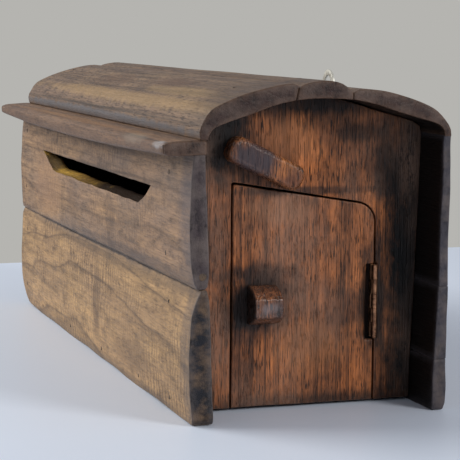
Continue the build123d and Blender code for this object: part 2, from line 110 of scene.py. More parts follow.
def wander(x: float, y: float, z: float, seed: float) -> float:
    """Gentle noise from -1 to 1 at a place, different for each seed."""
    return noise.noise(Vector((x + 17.3 * seed, y - 9.1 * seed, z + 4.7 * seed)))


def spot(x: float, u: float, z: float) -> Vector:
    """The place of a point given in the case's own millimetres."""
    return Vector((x * MM, CASE_MIDDLE + u * MM, z * MM))


# ------------------------------------------------------------------------------------ shader trees


class ShaderTree:
    """A material's node tree, with short calls for the nodes that the finishes use."""

    def __init__(self, name: str) -> None:
        """Start an empty node material.

        Args:
            name: the material's name.
        """
        self.material = bpy.data.materials.new(name)
        self.material.use_nodes = True
        self.tree = self.material.node_tree
        self.tree.nodes.clear()
        self.shader = self.tree.nodes.new("ShaderNodeBsdfPrincipled")
        output = self.tree.nodes.new("ShaderNodeOutputMaterial")
        self.tree.links.new(self.shader.outputs[0], output.inputs[0])
        self.place = self.tree.nodes.new("ShaderNodeTexCoord").outputs["Object"]

    def set(self, target: Socket, value: object) -> None:
        """Link a socket to a target, or write a plain value in it.

        Args:
            target: the input to fill.
            value: a socket, a number or a colour.
        """
        if isinstance(value, Socket):
            self.tree.links.new(value, target)
        elif isinstance(value, tuple) and len(value) == 3 and target.type == "RGBA":
            target.default_value = (*value, 1.0)
        else:
            target.default_value = value

    def math(self, operation: str, first: object, second: object = 0.0, third: object = 0.0) -> Socket:
        """One maths node.

        Args:
            operation: the node's operation, such as MULTIPLY.
            first: a number or a socket.
            second: a number or a socket.
            third: a number or a socket, for the operations that take three.

        Returns:
            The result's socket.
        """
        node = self.tree.nodes.new("ShaderNodeMath")
        node.operation = operation
        for target, value in zip(node.inputs, (first, second, third)):
            self.set(target, value)
        return node.outputs[0]

    def mix(self, factor: object, first: object, second: object, blend: str = "MIX") -> Socket:
        """Mix two colours by a factor.

        Args:
            factor: a number or a socket, 0 for the first colour and 1 for the second.
            first: a colour or a socket.
            second: a colour or a socket.
            blend: the blend mode.

        Returns:
            The mixed colour's socket.
        """
        node = self.tree.nodes.new("ShaderNodeMix")
        node.data_type = "RGBA"
        node.blend_type = blend
        node.clamp_factor = True
        self.set(node.inputs["Factor"], factor)
        self.set(node.inputs[6], first)
        self.set(node.inputs[7], second)
        return node.outputs[2]

    def mapped(self, vector: Socket, scale: Sequence[float], shift: Sequence[float] = (0, 0, 0)) -> Socket:
        """Scale and shift a vector with a Mapping node.

        Args:
            vector: the vector's socket.
            scale: the scale on each axis.
            shift: the shift that is added after it.

        Returns:
            The new vector's socket.
        """
        node = self.tree.nodes.new("ShaderNodeMapping")
        self.set(node.inputs["Vector"], vector)
        node.inputs["Scale"].default_value = tuple(scale)
        node.inputs["Location"].default_value = tuple(shift)
        return node.outputs[0]

    def grain(self, vector: Socket, detail: float = 2.0, roughness: float = 0.5) -> Socket:
        """Read a noise texture at a vector that is already scaled.

        Args:
            vector: where it is read.
            detail: how many finer layers it has.
            roughness: how strong they are.

        Returns:
            The value's socket.
        """
        node = self.tree.nodes.new("ShaderNodeTexNoise")
        self.set(node.inputs["Vector"], vector)
        node.inputs["Scale"].default_value = 1.0
        node.inputs["Detail"].default_value = detail
        node.inputs["Roughness"].default_value = roughness
        return node.outputs[0]

    def ramp(self, factor: Socket, *stops: Point) -> Socket:
        """Turn a value into another by straight steps between stops.

        Args:
            factor: the value, 0 to 1.
            stops: (place, value) pairs in order.

        Returns:
            The new value's socket.
        """
        node = self.tree.nodes.new("ShaderNodeValToRGB")
        elements = node.color_ramp.elements
        while len(elements) < len(stops):
            elements.new(0.5)
        for element, (position, value) in zip(elements, stops):
            element.position = position
            element.color = (value, value, value, 1.0)
        self.set(node.inputs[0], factor)
        return node.outputs[0]

    def split(self, vector: Socket) -> tuple[Socket, ...]:
        """Take a vector apart.

        Args:
            vector: its socket.

        Returns:
            The sockets of its x, y and z.
        """
        node = self.tree.nodes.new("ShaderNodeSeparateXYZ")
        self.set(node.inputs[0], vector)
        return tuple(node.outputs)

    def join(self, *parts: object) -> Socket:
        """Make a vector.

        Args:
            parts: its x, y and z, as numbers or sockets.

        Returns:
            The vector's socket.
        """
        node = self.tree.nodes.new("ShaderNodeCombineXYZ")
        for target, value in zip(node.inputs, parts):
            self.set(target, value)
        return node.outputs[0]

    def zone(self, name: str) -> Socket:
        """Read a point attribute of the piece.

        Args:
            name: the attribute's name.

        Returns:
            Its value's socket.
        """
        node = self.tree.nodes.new("ShaderNodeAttribute")
        node.attribute_name = name
        return node.outputs["Fac"]

    def bump(self, height: Socket, strength: float, distance: float) -> None:
        """Give the surface its fine relief.

        Args:
            height: the relief's height, 0 to 1.
            strength: how strongly it shows.
            distance: how deep it is, in metres.
        """
        node = self.tree.nodes.new("ShaderNodeBump")
        node.inputs["Strength"].default_value = strength
        node.inputs["Distance"].default_value = distance
        self.set(node.inputs["Height"], height)
        self.set(self.shader.inputs["Normal"], node.outputs[0])


class Grain(Enum):
    """Which way the fibres of a piece run."""

    LENGTHWISE = "along X"
    UPRIGHT = "along Z"


class Zone(Enum):
    """Point attributes that say which part of a board's surface a point is on."""

    END = "end_grain"
    # the inner faces, where the finishes paint shade
    INSIDE = "inside"
    # the rounded edges, painted lighter: partly wear, partly a painted highlight
    EDGE = "worn_highlit_edge"


@dataclass(frozen=True)
class StainOrPaintedLight:
    """A soft round mark laid on the wood's colour: a halo of iron stain, a worn patch, a band of dirt, painted shade, a
    painted shadow or a painted highlight.

    centre is (x, u, z) in millimetres, reach the half sizes along the same axes.
    """

    centre: tuple[float, float, float]
    reach: tuple[float, float, float]
    colour: Colour
    strength: float = 0.8


@dataclass(frozen=True)
class WoodFinish:
    """Old hand-planed timber: growth rings, fibres, pores, patches of weathering and marks, with painted shade on its
    inner faces and a partly painted highlight on its edges.
    """

    name: str
    base: Colour
    light: Colour
    dark: Colour
    weather: Colour
    end: Colour
    # the colour of the inner faces: painted shade
    inside: Colour
    # the colour of the rounded edges: partly wear, partly a painted highlight
    edge: Colour
    fibres: Grain = Grain.LENGTHWISE
    seed: float = 0.0
    ring_pitch: float = 60.0
    ring_tilt: float = 0.35
    ring_wander: float = 1.3
    ring_strength: float = 0.5
    fibre_strength: float = 0.6
    streak_strength: float = 0.3
    pore_strength: float = 0.7
    curl_strength: float = 0.0
    soil_strength: float = 0.55
    light_share: float = 0.5
    weather_share: float = 0.4
    edge_wear_and_sheen: float = 0.4
    roughness: tuple[float, float] = (0.42, 0.6)
    gloss: float = 0.22
    fibre_length: float = 26.0
    patch_length: float = 7.0
    relief: float = 0.3
    stains: tuple[StainOrPaintedLight, ...] = ()

    def fibre_space(self, tree: ShaderTree) -> Socket:
        """Find the place on the piece, turned so that its first axis runs along the fibres.

        Args:
            tree: the material.

        Returns:
            The place's socket.
        """
        x, y, z = tree.split(tree.place)
        if self.fibres is Grain.UPRIGHT:
            x, z = z, x
        return tree.mapped(tree.join(x, y, z), (1, 1, 1), (self.seed * 0.37, self.seed * 0.71, self.seed * 0.53))

    def rings(self, tree: ShaderTree, fibre: Socket) -> Socket:
        """Draw the growth rings cut by the face of the board.

        Args:
            tree: the material.
            fibre: the place along and across the fibres.

        Returns:
            A socket that is 0 in the early wood and 1 on the dark late lines.
        """
        slow = tree.grain(tree.mapped(fibre, (2.4, 8, 8), (self.seed, 0, 3.0)), 2.0, 0.45)
        quick = tree.grain(tree.mapped(fibre, (16, 55, 55)), 2.0, 0.5)
        _, across, depth = tree.split(fibre)
        sideways = tree.math("MULTIPLY", across, math.cos(self.ring_tilt))
        tilted = tree.math("MULTIPLY_ADD", depth, math.sin(self.ring_tilt), sideways)
        count = tree.math("MULTIPLY", tilted, self.ring_pitch)
        count = tree.math("MULTIPLY_ADD", slow, self.ring_wander * 2, count)
        count = tree.math("MULTIPLY_ADD", quick, self.ring_wander * 0.16, count)
        phase = tree.math("FRACT", count)
        return tree.ramp(phase, (0.0, 0.3), (0.05, 0.0), (0.6, 0.06), (0.88, 0.3), (0.965, 1.0), (1.0, 0.3))

    def colour(self, tree: ShaderTree, fibre: Socket, rings: Socket,
               fibres: Socket, pores: Socket) -> Socket:
        """The wood's colour, before the marks and the ends.

        Args:
            tree: the material.
            fibre: the place along and across the fibres.
            rings: the growth rings.
            fibres: the fine fibres.
            pores: the open pores.

        Returns:
            The colour's socket.
        """

        def lay(tint: object, over: Colour, share: float, scale: Sequence[float], shift: Sequence[float],
                noise_kind: Point, steps: Point) -> Socket:
            """Lay one patchy colour over the tint.

            Args:
                tint: the colour below.
                over: the colour that is laid on.
                share: its strength.
                scale: the pattern's scale along and across the fibres.
                shift: where the pattern starts.
                noise_kind: the noise's detail and roughness.
                steps: the noise values at which the colour starts and is full.

            Returns:
                The new tint's socket.
            """
            pattern = tree.grain(tree.mapped(fibre, scale, shift), *noise_kind)
            pattern = tree.ramp(pattern, (steps[0], 0.0), (steps[1], 1.0))
            return tree.mix(tree.math("MULTIPLY", pattern, share), tint, over)

        length = self.patch_length
        tint = lay(self.base, self.light, self.light_share, (length, 30, 30), (self.seed, 2.0, 5.0),
                   (4.0, 0.62), (0.36, 0.64))
        tint = lay(tint, self.weather, self.weather_share, (length, 24, 24), (7.0, self.seed, 1.0),
                   (5.0, 0.68), (0.42, 0.66))
        tint = lay(tint, self.dark, self.streak_strength, (self.fibre_length * 0.25, 230, 230),
                   (3.0, 1.0, self.seed), (5.0, 0.7), (0.46, 0.66))
        tint = tree.mix(tree.math("MULTIPLY", rings, self.ring_strength), tint, self.dark)
        tone = tree.math("MULTIPLY_ADD", fibres, self.fibre_strength, 1.0 - self.fibre_strength / 2)
        tint = tree.mix(1.0, tint, tree.join(tone, tone, tone), "MULTIPLY")
        if self.curl_strength:
            ripple = self.curl(tree, fibre, fibres)
            tint = tree.mix(tree.math("MULTIPLY", ripple, self.curl_strength), tint, self.dark)
        tint = lay(tint, self.dark, self.soil_strength, (48, 110, 110), (2.0, 4.0, self.seed),
                   (6.0, 0.72), (0.47, 0.74))
        return tree.mix(tree.math("MULTIPLY", pores, self.pore_strength), tint, self.dark)

    def curl(self, tree: ShaderTree, fibre: Socket, fibres: Socket) -> Socket:
        """Draw the fine ripples that cross curly timber in patches.

        Args:
            tree: the material.
            fibre: the place along and across the fibres.
            fibres: the fine fibres.

        Returns:
            The ripples' socket, 1 where they are darkest.
        """
        along, across, _ = tree.split(fibre)
        drift = tree.grain(tree.mapped(fibre, (30, 40, 40)), 2.0, 0.5)
        ripple = tree.math("MULTIPLY_ADD", along, 900.0, tree.math("MULTIPLY", across, 500.0))
        ripple = tree.math("SINE", tree.math("MULTIPLY_ADD", drift, 26.0, ripple))
        where = tree.grain(tree.mapped(fibre, (9, 16, 16), (1.0, 9.0, self.seed)), 2.0, 0.5)
        where = tree.ramp(where, (0.45, 0.0), (0.62, 1.0))
        ripple = tree.ramp(tree.math("MULTIPLY_ADD", ripple, 0.5, 0.5), (0.45, 0.0), (0.85, 1.0))
        return tree.math("MULTIPLY", tree.math("MULTIPLY", ripple, where), tree.ramp(fibres, (0.3, 0.2), (0.65, 1.0)))

    def marks(self, tree: ShaderTree, tint: Socket) -> Socket:
        """Lay the marks over the colour, each with a ragged soft rim: stains, dirt and wear, and painted shade, shadows
        and highlights.

        Args:
            tree: the material.
            tint: the colour below.

        Returns:
            The stained colour's socket.
        """
        ragged = tree.grain(tree.mapped(tree.place, (110, 110, 60), (self.seed, 0, 0)), 4.0, 0.6)
        for stain in self.stains:
            x, u, z = stain.centre
            scale = [1 / (reach * MM) for reach in stain.reach]
            centre = (x * MM, CASE_MIDDLE + u * MM, z * MM)
            shift = [-place * size for place, size in zip(centre, scale)]
            node = tree.tree.nodes.new("ShaderNodeVectorMath")
            node.operation = "LENGTH"
            tree.set(node.inputs[0], tree.mapped(tree.place, scale, shift))
            fade = tree.math("SUBTRACT", 1.6, tree.math("MULTIPLY_ADD", ragged, 1.1, node.outputs["Value"]))
            fade = tree.math("MINIMUM", tree.math("MAXIMUM", tree.math("MULTIPLY", fade, 1.9), 0.0), 1.0)
            tint = tree.mix(tree.math("MULTIPLY", fade, stain.strength), tint, stain.colour)
        return tint

    def material(self) -> Material:
        """Build the finish as a node material.

        Returns:
            The material.
        """
        tree = ShaderTree(f"{self.name}_{int(self.seed * 10):03d}")
        fibre = self.fibre_space(tree)
        rings = self.rings(tree, fibre)
        fibres = tree.grain(tree.mapped(fibre, (self.fibre_length, 560, 560)), 5.0, 0.75)
        fibres = tree.ramp(fibres, (0.28, 0.0), (0.72, 1.0))
        pores = tree.grain(tree.mapped(fibre, (110, 1100, 1100), (0, self.seed, 0)), 2.0, 0.5)
        pores = tree.ramp(pores, (0.56, 0.0), (0.64, 1.0))
        tint = self.colour(tree, fibre, rings, fibres, pores)
        speckle = tree.grain(tree.mapped(tree.place, (240, 240, 130)), 6.0, 0.8)
        speckle = tree.math("MULTIPLY_ADD", speckle, 3.2, -0.6)
        # Painted shade: the inner faces are mixed towards the dark inside colour.
        inside = tree.mix(1.0, self.inside, tree.join(speckle, speckle, speckle), "MULTIPLY")
        tint = tree.mix(tree.zone(Zone.INSIDE.value), tint, inside)
        tint = self.marks(tree, tint)
        end = tree.mix(1.0, self.end, tree.join(speckle, speckle, speckle), "MULTIPLY")
        cloud = tree.ramp(tree.grain(tree.mapped(tree.place, (50, 50, 70)), 4.0, 0.65), (0.42, 0.0), (0.62, 1.0))
        end = tree.mix(tree.math("MULTIPLY", cloud, 0.4), end, self.weather)
        tint = tree.mix(tree.zone(Zone.END.value), tint, end)
        # The edges are mixed towards the lighter edge colour: partly wear, partly a painted highlight on the rims.
        worn = tree.math("MULTIPLY", tree.zone(Zone.EDGE.value), tree.ramp(speckle, (0.55, 0.1), (1.0, 1.0)))
        tint = tree.mix(tree.math("MULTIPLY", worn, self.edge_wear_and_sheen), tint, self.edge)
        tree.set(tree.shader.inputs["Base Color"], tint)
        low, high = self.roughness
        rough = tree.math("MULTIPLY_ADD", fibres, high - low, low)
        rough = tree.math("MULTIPLY_ADD", tree.zone(Zone.END.value), -0.1, rough)
        tree.set(tree.shader.inputs["Roughness"], rough)
        tree.shader.inputs["Specular IOR Level"].default_value = self.gloss
        height = tree.math("MULTIPLY_ADD", fibres, 0.6, tree.math("MULTIPLY", rings, -0.35))
        height = tree.math("SUBTRACT", height, tree.math("MULTIPLY", pores, 0.5))
        tree.bump(height, self.relief, 0.6 * MM)
        return tree.material


@dataclass(frozen=True)
class MetalFinish:
    """A small iron or steel part: a tinted metal with blotches and fine scratches."""

    name: str
    bright: Colour
    dull: Colour
    metallic: float = 0.9
    roughness: tuple[float, float] = (0.3, 0.55)

    def material(self) -> Material:
        """Build the finish as a node material.

        Returns:
            The material.
        """
        tree = ShaderTree(self.name)
        blotch = tree.grain(tree.mapped(tree.place, (260, 260, 260)), 4.0, 0.65)
        blotch = tree.ramp(blotch, (0.4, 0.0), (0.62, 1.0))
        scratch = tree.grain(tree.mapped(tree.place, (900, 900, 60)), 2.0, 0.5)
        tree.set(tree.shader.inputs["Base Color"], tree.mix(blotch, self.bright, self.dull))
        low, high = self.roughness
        tree.set(tree.shader.inputs["Roughness"], tree.math("MULTIPLY_ADD", scratch, high - low, low))
        tree.shader.inputs["Metallic"].default_value = self.metallic
        tree.bump(tree.math("MULTIPLY_ADD", blotch, 0.5, scratch), 0.25, 0.15 * MM)
        return tree.material


SLOT_SIDE = WoodFinish(
    "slot_side_timber",
    base=rgb(162, 130, 102),
    light=rgb(200, 158, 110),
    dark=rgb(62, 50, 44),
    weather=rgb(122, 108, 100),
    soil_strength=0.75,
    end=rgb(56, 46, 48),
    # dark inner faces: painted shade
    inside=rgb(40, 26, 19),
    edge=rgb(120, 110, 106),
    ring_pitch=90,
    ring_strength=0.45,
    streak_strength=0.4,
    pore_strength=0.3,
    curl_strength=0.4,
    weather_share=0.6,
    relief=0.5,
    stains=(
        StainOrPaintedLight((262, -90, 150), (26, 40, 60), rgb(92, 86, 90), 0.5),
        StainOrPaintedLight((150, -88, 92), (300, 40, 8), rgb(86, 76, 72), 0.55),
        StainOrPaintedLight((0, -88, 88.4), (330, 40, 1.7), rgb(40, 33, 30), 0.9),
        StainOrPaintedLight((-150, -90, 120), (60, 40, 34), rgb(176, 136, 102), 0.4),
        StainOrPaintedLight((60, -90, 112), (16, 40, 26), rgb(92, 74, 62), 0.4),
        StainOrPaintedLight((-60, -90, 116), (22, 40, 24), rgb(104, 84, 70), 0.35),
        StainOrPaintedLight((0, -90, 172), (300, 40, 9), rgb(84, 70, 60), 0.5),
    ),
)
LOWER_SIDE = replace(
    SLOT_SIDE, name="lower_side_timber", base=rgb(184, 148, 108), light=rgb(214, 172, 116), weather=rgb(148, 118, 90),
    end=rgb(24, 25, 32), seed=1.3, ring_pitch=100, ring_wander=1.9, ring_strength=0.5, weather_share=0.45,
    curl_strength=0.6, streak_strength=0.3, soil_strength=0.7,
    stains=(
        StainOrPaintedLight((262, -90, 50), (22, 40, 60), rgb(98, 88, 84), 0.5),
        StainOrPaintedLight((60, -90, 84), (300, 40, 6), rgb(96, 80, 66), 0.5),
        StainOrPaintedLight((0, -88, 88), (330, 40, 1.7), rgb(40, 33, 30), 0.9),
        StainOrPaintedLight((20, -90, 46), (13, 40, 34), rgb(98, 78, 62), 0.5),
        StainOrPaintedLight((120, -90, 20), (60, 40, 14), rgb(112, 90, 70), 0.4),
        StainOrPaintedLight((0, -90, 0), (300, 40, 7), rgb(92, 76, 62), 0.5),
    ),
)
ROOF_TOP = WoodFinish(
    "roof_timber",
    base=rgb(134, 109, 88),
    light=rgb(164, 137, 104),
    dark=rgb(54, 42, 36),
    weather=rgb(112, 94, 84),
    end=rgb(48, 32, 28),
    # nearly black underside: painted shade
    inside=rgb(16, 11, 9),
    edge=rgb(120, 94, 76),
    edge_wear_and_sheen=0.4,
    seed=2.1,
    ring_pitch=90,
    ring_tilt=1.1,
    ring_wander=1.0,
    ring_strength=0.4,
    streak_strength=0.6,
    weather_share=0.5,
    roughness=(0.34, 0.55),
    relief=0.5,
    stains=(
        StainOrPaintedLight((60, -75, 203), (330, 9, 7), rgb(184, 150, 104), 0.5),
        StainOrPaintedLight((150, -60, 210), (110, 10, 7), rgb(176, 146, 100), 0.4),
        StainOrPaintedLight((-60, -52, 212), (60, 16, 9), rgb(96, 72, 56), 0.5),
        StainOrPaintedLight((90, -48, 214), (50, 12, 9), rgb(100, 74, 56), 0.5),
        StainOrPaintedLight((0, -85, 188), (400, 4, 4.5), rgb(106, 106, 110), 0.8),
        StainOrPaintedLight((0, -84, 184.4), (330, 6, 1.4), rgb(34, 28, 26), 0.9),
        StainOrPaintedLight((0, -83, 193.6), (330, 6, 1.0), rgb(64, 56, 50), 0.6),
        StainOrPaintedLight((262, -40, 214), (70, 60, 40), rgb(70, 56, 50), 0.5),
    ),
)
DOOR_END = WoodFinish(
    "door_end_timber",
    base=rgb(118, 74, 48),
    light=rgb(200, 120, 66),
    dark=rgb(24, 16, 14),
    weather=rgb(70, 48, 42),
    end=rgb(48, 33, 27),
    # dark back and edges: painted shade
    inside=rgb(46, 28, 20),
    edge=rgb(172, 134, 112),
    fibres=Grain.UPRIGHT,
    seed=3.4,
    ring_pitch=110,
    ring_tilt=0.1,
    ring_wander=0.9,
    ring_strength=0.5,
    fibre_strength=1.25,
    streak_strength=0.75,
    pore_strength=0.9,
    soil_strength=0.85,
    light_share=1.0,
    weather_share=0.55,
    patch_length=19.0,
    roughness=(0.26, 0.45),
    gloss=0.3,
    fibre_length=11.0,
    relief=0.9,
)
# The handled timber's end colour is nearly black: end grain, darkened further as painted shade for the knob's shaded
# end.
HANDLED = replace(
    DOOR_END, name="handled_timber", base=rgb(150, 86, 46), light=rgb(214, 134, 72), weather=rgb(92, 58, 44),
    edge=rgb(206, 132, 82), end=rgb(22, 15, 13), seed=5.2, edge_wear_and_sheen=0.3, streak_strength=0.7,
    roughness=(0.17, 0.34), gloss=0.5, fibre_length=16.0, patch_length=40.0,
)
HANDLED_KNOB = replace(
    HANDLED, name="knob_timber", base=rgb(98, 60, 42), light=rgb(168, 104, 64), edge=rgb(150, 98, 68), gloss=0.9,
    roughness=(0.12, 0.24), edge_wear_and_sheen=0.25, seed=5.9,
    stains=(
        # A pale painted highlight on the knob's front facet.
        StainOrPaintedLight((250, -29, 71.5), (6, 12, 6), rgb(150, 146, 150), 0.45),
        # Painted shade over the knob's left end, which faces away from the light.
        StainOrPaintedLight((236, -44, 71.5), (20, 8, 20), rgb(26, 18, 16), 0.95),
    ),
)
HIDDEN = replace(DOOR_END, name="inner_timber", base=rgb(84, 55, 39), light=rgb(108, 74, 50), seed=6.1,
                 fibres=Grain.LENGTHWISE, roughness=(0.55, 0.75))
FRESH_CUT = replace(
    SLOT_SIDE, name="cut_timber", base=rgb(196, 154, 62), light=rgb(230, 190, 92), weather=rgb(112, 74, 36),
    inside=rgb(206, 160, 66), end=rgb(120, 100, 84), edge=rgb(206, 160, 66), seed=7.7, curl_strength=0.0,
    stains=(
        StainOrPaintedLight((130, -86, 134), (190, 60, 60), rgb(44, 30, 18), 1.0),
        StainOrPaintedLight((-146, -86, 134), (26, 40, 30), rgb(70, 58, 46), 0.8),
    ),
)
# Near-black timber for the walls of chopped recesses and the hinge pocket: painted shade.
SHADED_RECESS = replace(HIDDEN, name="recess_shade_timber", base=rgb(26, 18, 15), light=rgb(38, 26, 20), seed=6.6)
OLD_IRON = MetalFinish("old_iron", rgb(34, 28, 25), rgb(20, 16, 14), 0.2, (0.5, 0.75))
HINGE_STEEL = MetalFinish("hinge_steel", rgb(176, 128, 96), rgb(104, 72, 54), 0.85, (0.22, 0.4))
SCREW_BRASS = MetalFinish("screw_brass", rgb(168, 138, 84), rgb(104, 82, 50), 0.95, (0.3, 0.5))
ZINC = MetalFinish("zinc_plate", rgb(222, 220, 208), rgb(176, 174, 164), 0.35, (0.35, 0.55))


# ------------------------------------------------------------------------------------- mesh making


class Curve:
    """A smooth open curve through a few points of a cross section, read by its share of length."""

    def __init__(self, *points: Point) -> None:
        """Measure the curve.

        Args:
            points: (u, z) points in millimetres, in order.
        """
        self.points = [Vector(p) for p in points]
        steps = [0.0]
        for here, there in zip(self.points, self.points[1:]):
            steps.append(steps[-1] + (there - here).length)
        self.length = steps[-1] * MM
        self.shares = [step / steps[-1] for step in steps]

    def at(self, share: float) -> Vector:
        """Find the point at a share of the length, by a Catmull-Rom spline.

        Args:
            share: the share, 0 to 1.

        Returns:
            The point in millimetres.
        """
        last = len(self.points) - 1
        i = 0
        while i < last - 1 and share > self.shares[i + 1]:
            i += 1
        t = (share - self.shares[i]) / (self.shares[i + 1] - self.shares[i])
        t = min(1.0, max(0.0, t))
        b, c = self.points[i], self.points[i + 1]
        a = self.points[i - 1] if i else b * 2 - c
        d = self.points[i + 2] if i + 2 <= last else c * 2 - b
        return 0.5 * ((2 * b) + (c - a) * t + (2 * a - 5 * b + 4 * c - d) * t**2 + (3 * b - a - 3 * c + d) * t**3)


def lines_across(size: float, radius: float, pitch: float) -> list[float]:
    """Space grid lines over a size: close together in the rounded edges and even between them.

    Args:
        size: the size to cover, in metres.
        radius: the radius of its edges.
        pitch: the spacing between them.

    Returns:
        The lines' places, from 0 to the size.
    """
    edge = [0.0, 0.28 * radius, 0.62 * radius, radius]
    count = max(1, round((size - 2 * radius) / pitch))
    middle = [radius + (size - 2 * radius) * i / count for i in range(1, count)]
    return edge + middle + [size - step for step in reversed(edge)]


def new_piece(name: str, points: Sequence[Vector], faces: Sequence[Sequence[int]], material: Material) -> Piece:
    """Make a smooth-shaded mesh object at the origin.

    Args:
        name: the piece's name.
        points: its vertices, in metres.
        faces: its faces.
        material: its material.

    Returns:
        The object, linked to the scene.
    """
    mesh = bpy.data.meshes.new(name)
    mesh.from_pydata([tuple(p) for p in points], [], [tuple(f) for f in faces])
    mesh.update()
    mesh.materials.append(material)
    piece = bpy.data.objects.new(name, mesh)
    bpy.context.scene.collection.objects.link(piece)
    mesh.polygons.foreach_set("use_smooth", [True] * len(mesh.polygons))
    return piece


def write_zone(piece: Piece, zone: Zone, values: Sequence[float]) -> None:
    """Write one surface zone of a piece as a point attribute.

    Args:
        piece: the piece.
        zone: the zone.
        values: its value at each point, 0 to 1.
    """
    attribute = piece.data.attributes.new(zone.value, "FLOAT", "POINT")
    attribute.data.foreach_set("value", list(values))


def tidy_mesh(piece: Piece, merge: float = 0.0) -> None:
    """Turn a closed piece's faces outwards, after merging its doubles if asked.

    Args:
        piece: the piece.
        merge: the distance within which points are merged, in millimetres.
    """
    mesh = bmesh.new()
    mesh.from_mesh(piece.data)
    if merge:
        bmesh.ops.remove_doubles(mesh, verts=mesh.verts, dist=merge * MM)
    bmesh.ops.recalc_face_normals(mesh, faces=mesh.faces)
    mesh.to_mesh(piece.data)
    mesh.free()


def settle(piece: Piece) -> None:
    """Apply a piece's modifiers to its mesh.

    Args:
        piece: the piece.
    """
    graph = bpy.context.evaluated_depsgraph_get()
    finished = bpy.data.meshes.new_from_object(piece.evaluated_get(graph))
    piece.modifiers.clear()
    piece.data = finished


def hand_over(piece: Piece, body: str, slot: str, *nodes: str) -> None:
    """Ride a finished piece on its body and hide the CAD nodes it stands for.

    Args:
        piece: the finished piece.
        body: the body it rides on.
        slot: not used.
        nodes: the nodes it replaces.
    """
    SURFACES[piece.name] = BVHTree.FromPolygons(
        [v.co for v in piece.data.vertices], [tuple(f.vertices) for f in piece.data.polygons]
    )
    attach(piece, body)
    if nodes:
        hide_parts(*nodes)
    LOG.info("made %s: %d faces on %s", piece.name, len(piece.data.polygons), body)


def extruded(outline: Sequence[Corner | Vector], step: Corner) -> WorkMesh:
    """Extrude a flat outline into a closed block.

    Args:
        outline: its corners, in metres.
        step: how far and which way, in metres.

    Returns:
        The block's mesh.
    """
    mesh = bmesh.new()
    base = mesh.faces.new([mesh.verts.new(corner) for corner in outline])
    grown = bmesh.ops.extrude_face_region(mesh, geom=[base])
    moved = [v for v in grown["geom"] if isinstance(v, bmesh.types.BMVert)]
    bmesh.ops.translate(mesh, verts=moved, vec=step)
    bmesh.ops.recalc_face_normals(mesh, faces=mesh.faces)
    return mesh


def round_off(mesh: WorkMesh, edges: Sequence[bmesh.types.BMEdge], size: float, steps: int,
              profile: float = 0.5, clamp: bool = False) -> None:
    """Round some edges of a mesh.

    Args:
        mesh: the mesh.
        edges: the edges.
        size: how far back they are cut.
        steps: how many facets the rounding has.
        profile: its fullness, 0.5 for an arc.
        clamp: whether it stops where two roundings meet.
    """
    bmesh.ops.bevel(mesh, geom=edges, offset=size, segments=steps, profile=profile, affect="EDGES",
                    clamp_overlap=clamp)


def refine(mesh: WorkMesh, pitch: float, axes: Sequence[int] = (0, 1, 2)) -> None:
    """Cut a mesh by evenly spaced planes, so that its flats can be worn uneven.

    Args:
        mesh: the mesh.
        pitch: the spacing of the planes, at the least.
        axes: the axes that they cross.
    """
    for axis in axes:
        values = [v.co[axis] for v in mesh.verts]
        low, high = min(values), max(values)
        count = int((high - low) / pitch)
        normal = Vector([float(axis == other) for other in range(3)])
        for step in range(1, count):
            place = normal * (low + (high - low) * step / count)
            bmesh.ops.bisect_plane(mesh, geom=mesh.verts[:] + mesh.edges[:] + mesh.faces[:], plane_co=place,
                                   plane_no=normal, dist=1e-7)


def mesh_piece(name: str, mesh: WorkMesh, material: Material, sharp: float = 0.0) -> Piece:
    """Turn a finished work mesh into a smooth-shaded object at the origin.

    Args:
        name: the piece's name.
        mesh: the work mesh, which is freed.
        material: its material.
        sharp: the angle in degrees past which an edge stays sharp, or 0 for none.

    Returns:
        The object.
    """
    data = bpy.data.meshes.new(name)
    bmesh.ops.recalc_face_normals(mesh, faces=mesh.faces)
    mesh.to_mesh(data)
    mesh.free()
    data.materials.append(material)
    data.shade_smooth()
    if sharp:
        data.set_sharp_from_angle(angle=math.radians(sharp))
    piece = bpy.data.objects.new(name, data)
    bpy.context.scene.collection.objects.link(piece)
    return piece


def dress_zones(piece: Piece, sharp: float) -> None:
    """Paint worn edges where a small piece's surface bends, partly wear and partly a painted highlight, and leave the
    other zones clear.

    Args:
        piece: the piece.
        sharp: the bend, in degrees, that counts as fully worn.
    """
    mesh = bmesh.new()
    mesh.from_mesh(piece.data)
    worn = [min(1.0, math.degrees(max((e.calc_face_angle(0.0) for e in v.link_edges), default=0.0)) / sharp)
            for v in mesh.verts]
    mesh.free()
    write_zone(piece, Zone.EDGE, worn)
    write_zone(piece, Zone.END, [0.0] * len(worn))
    write_zone(piece, Zone.INSIDE, [0.0] * len(worn))


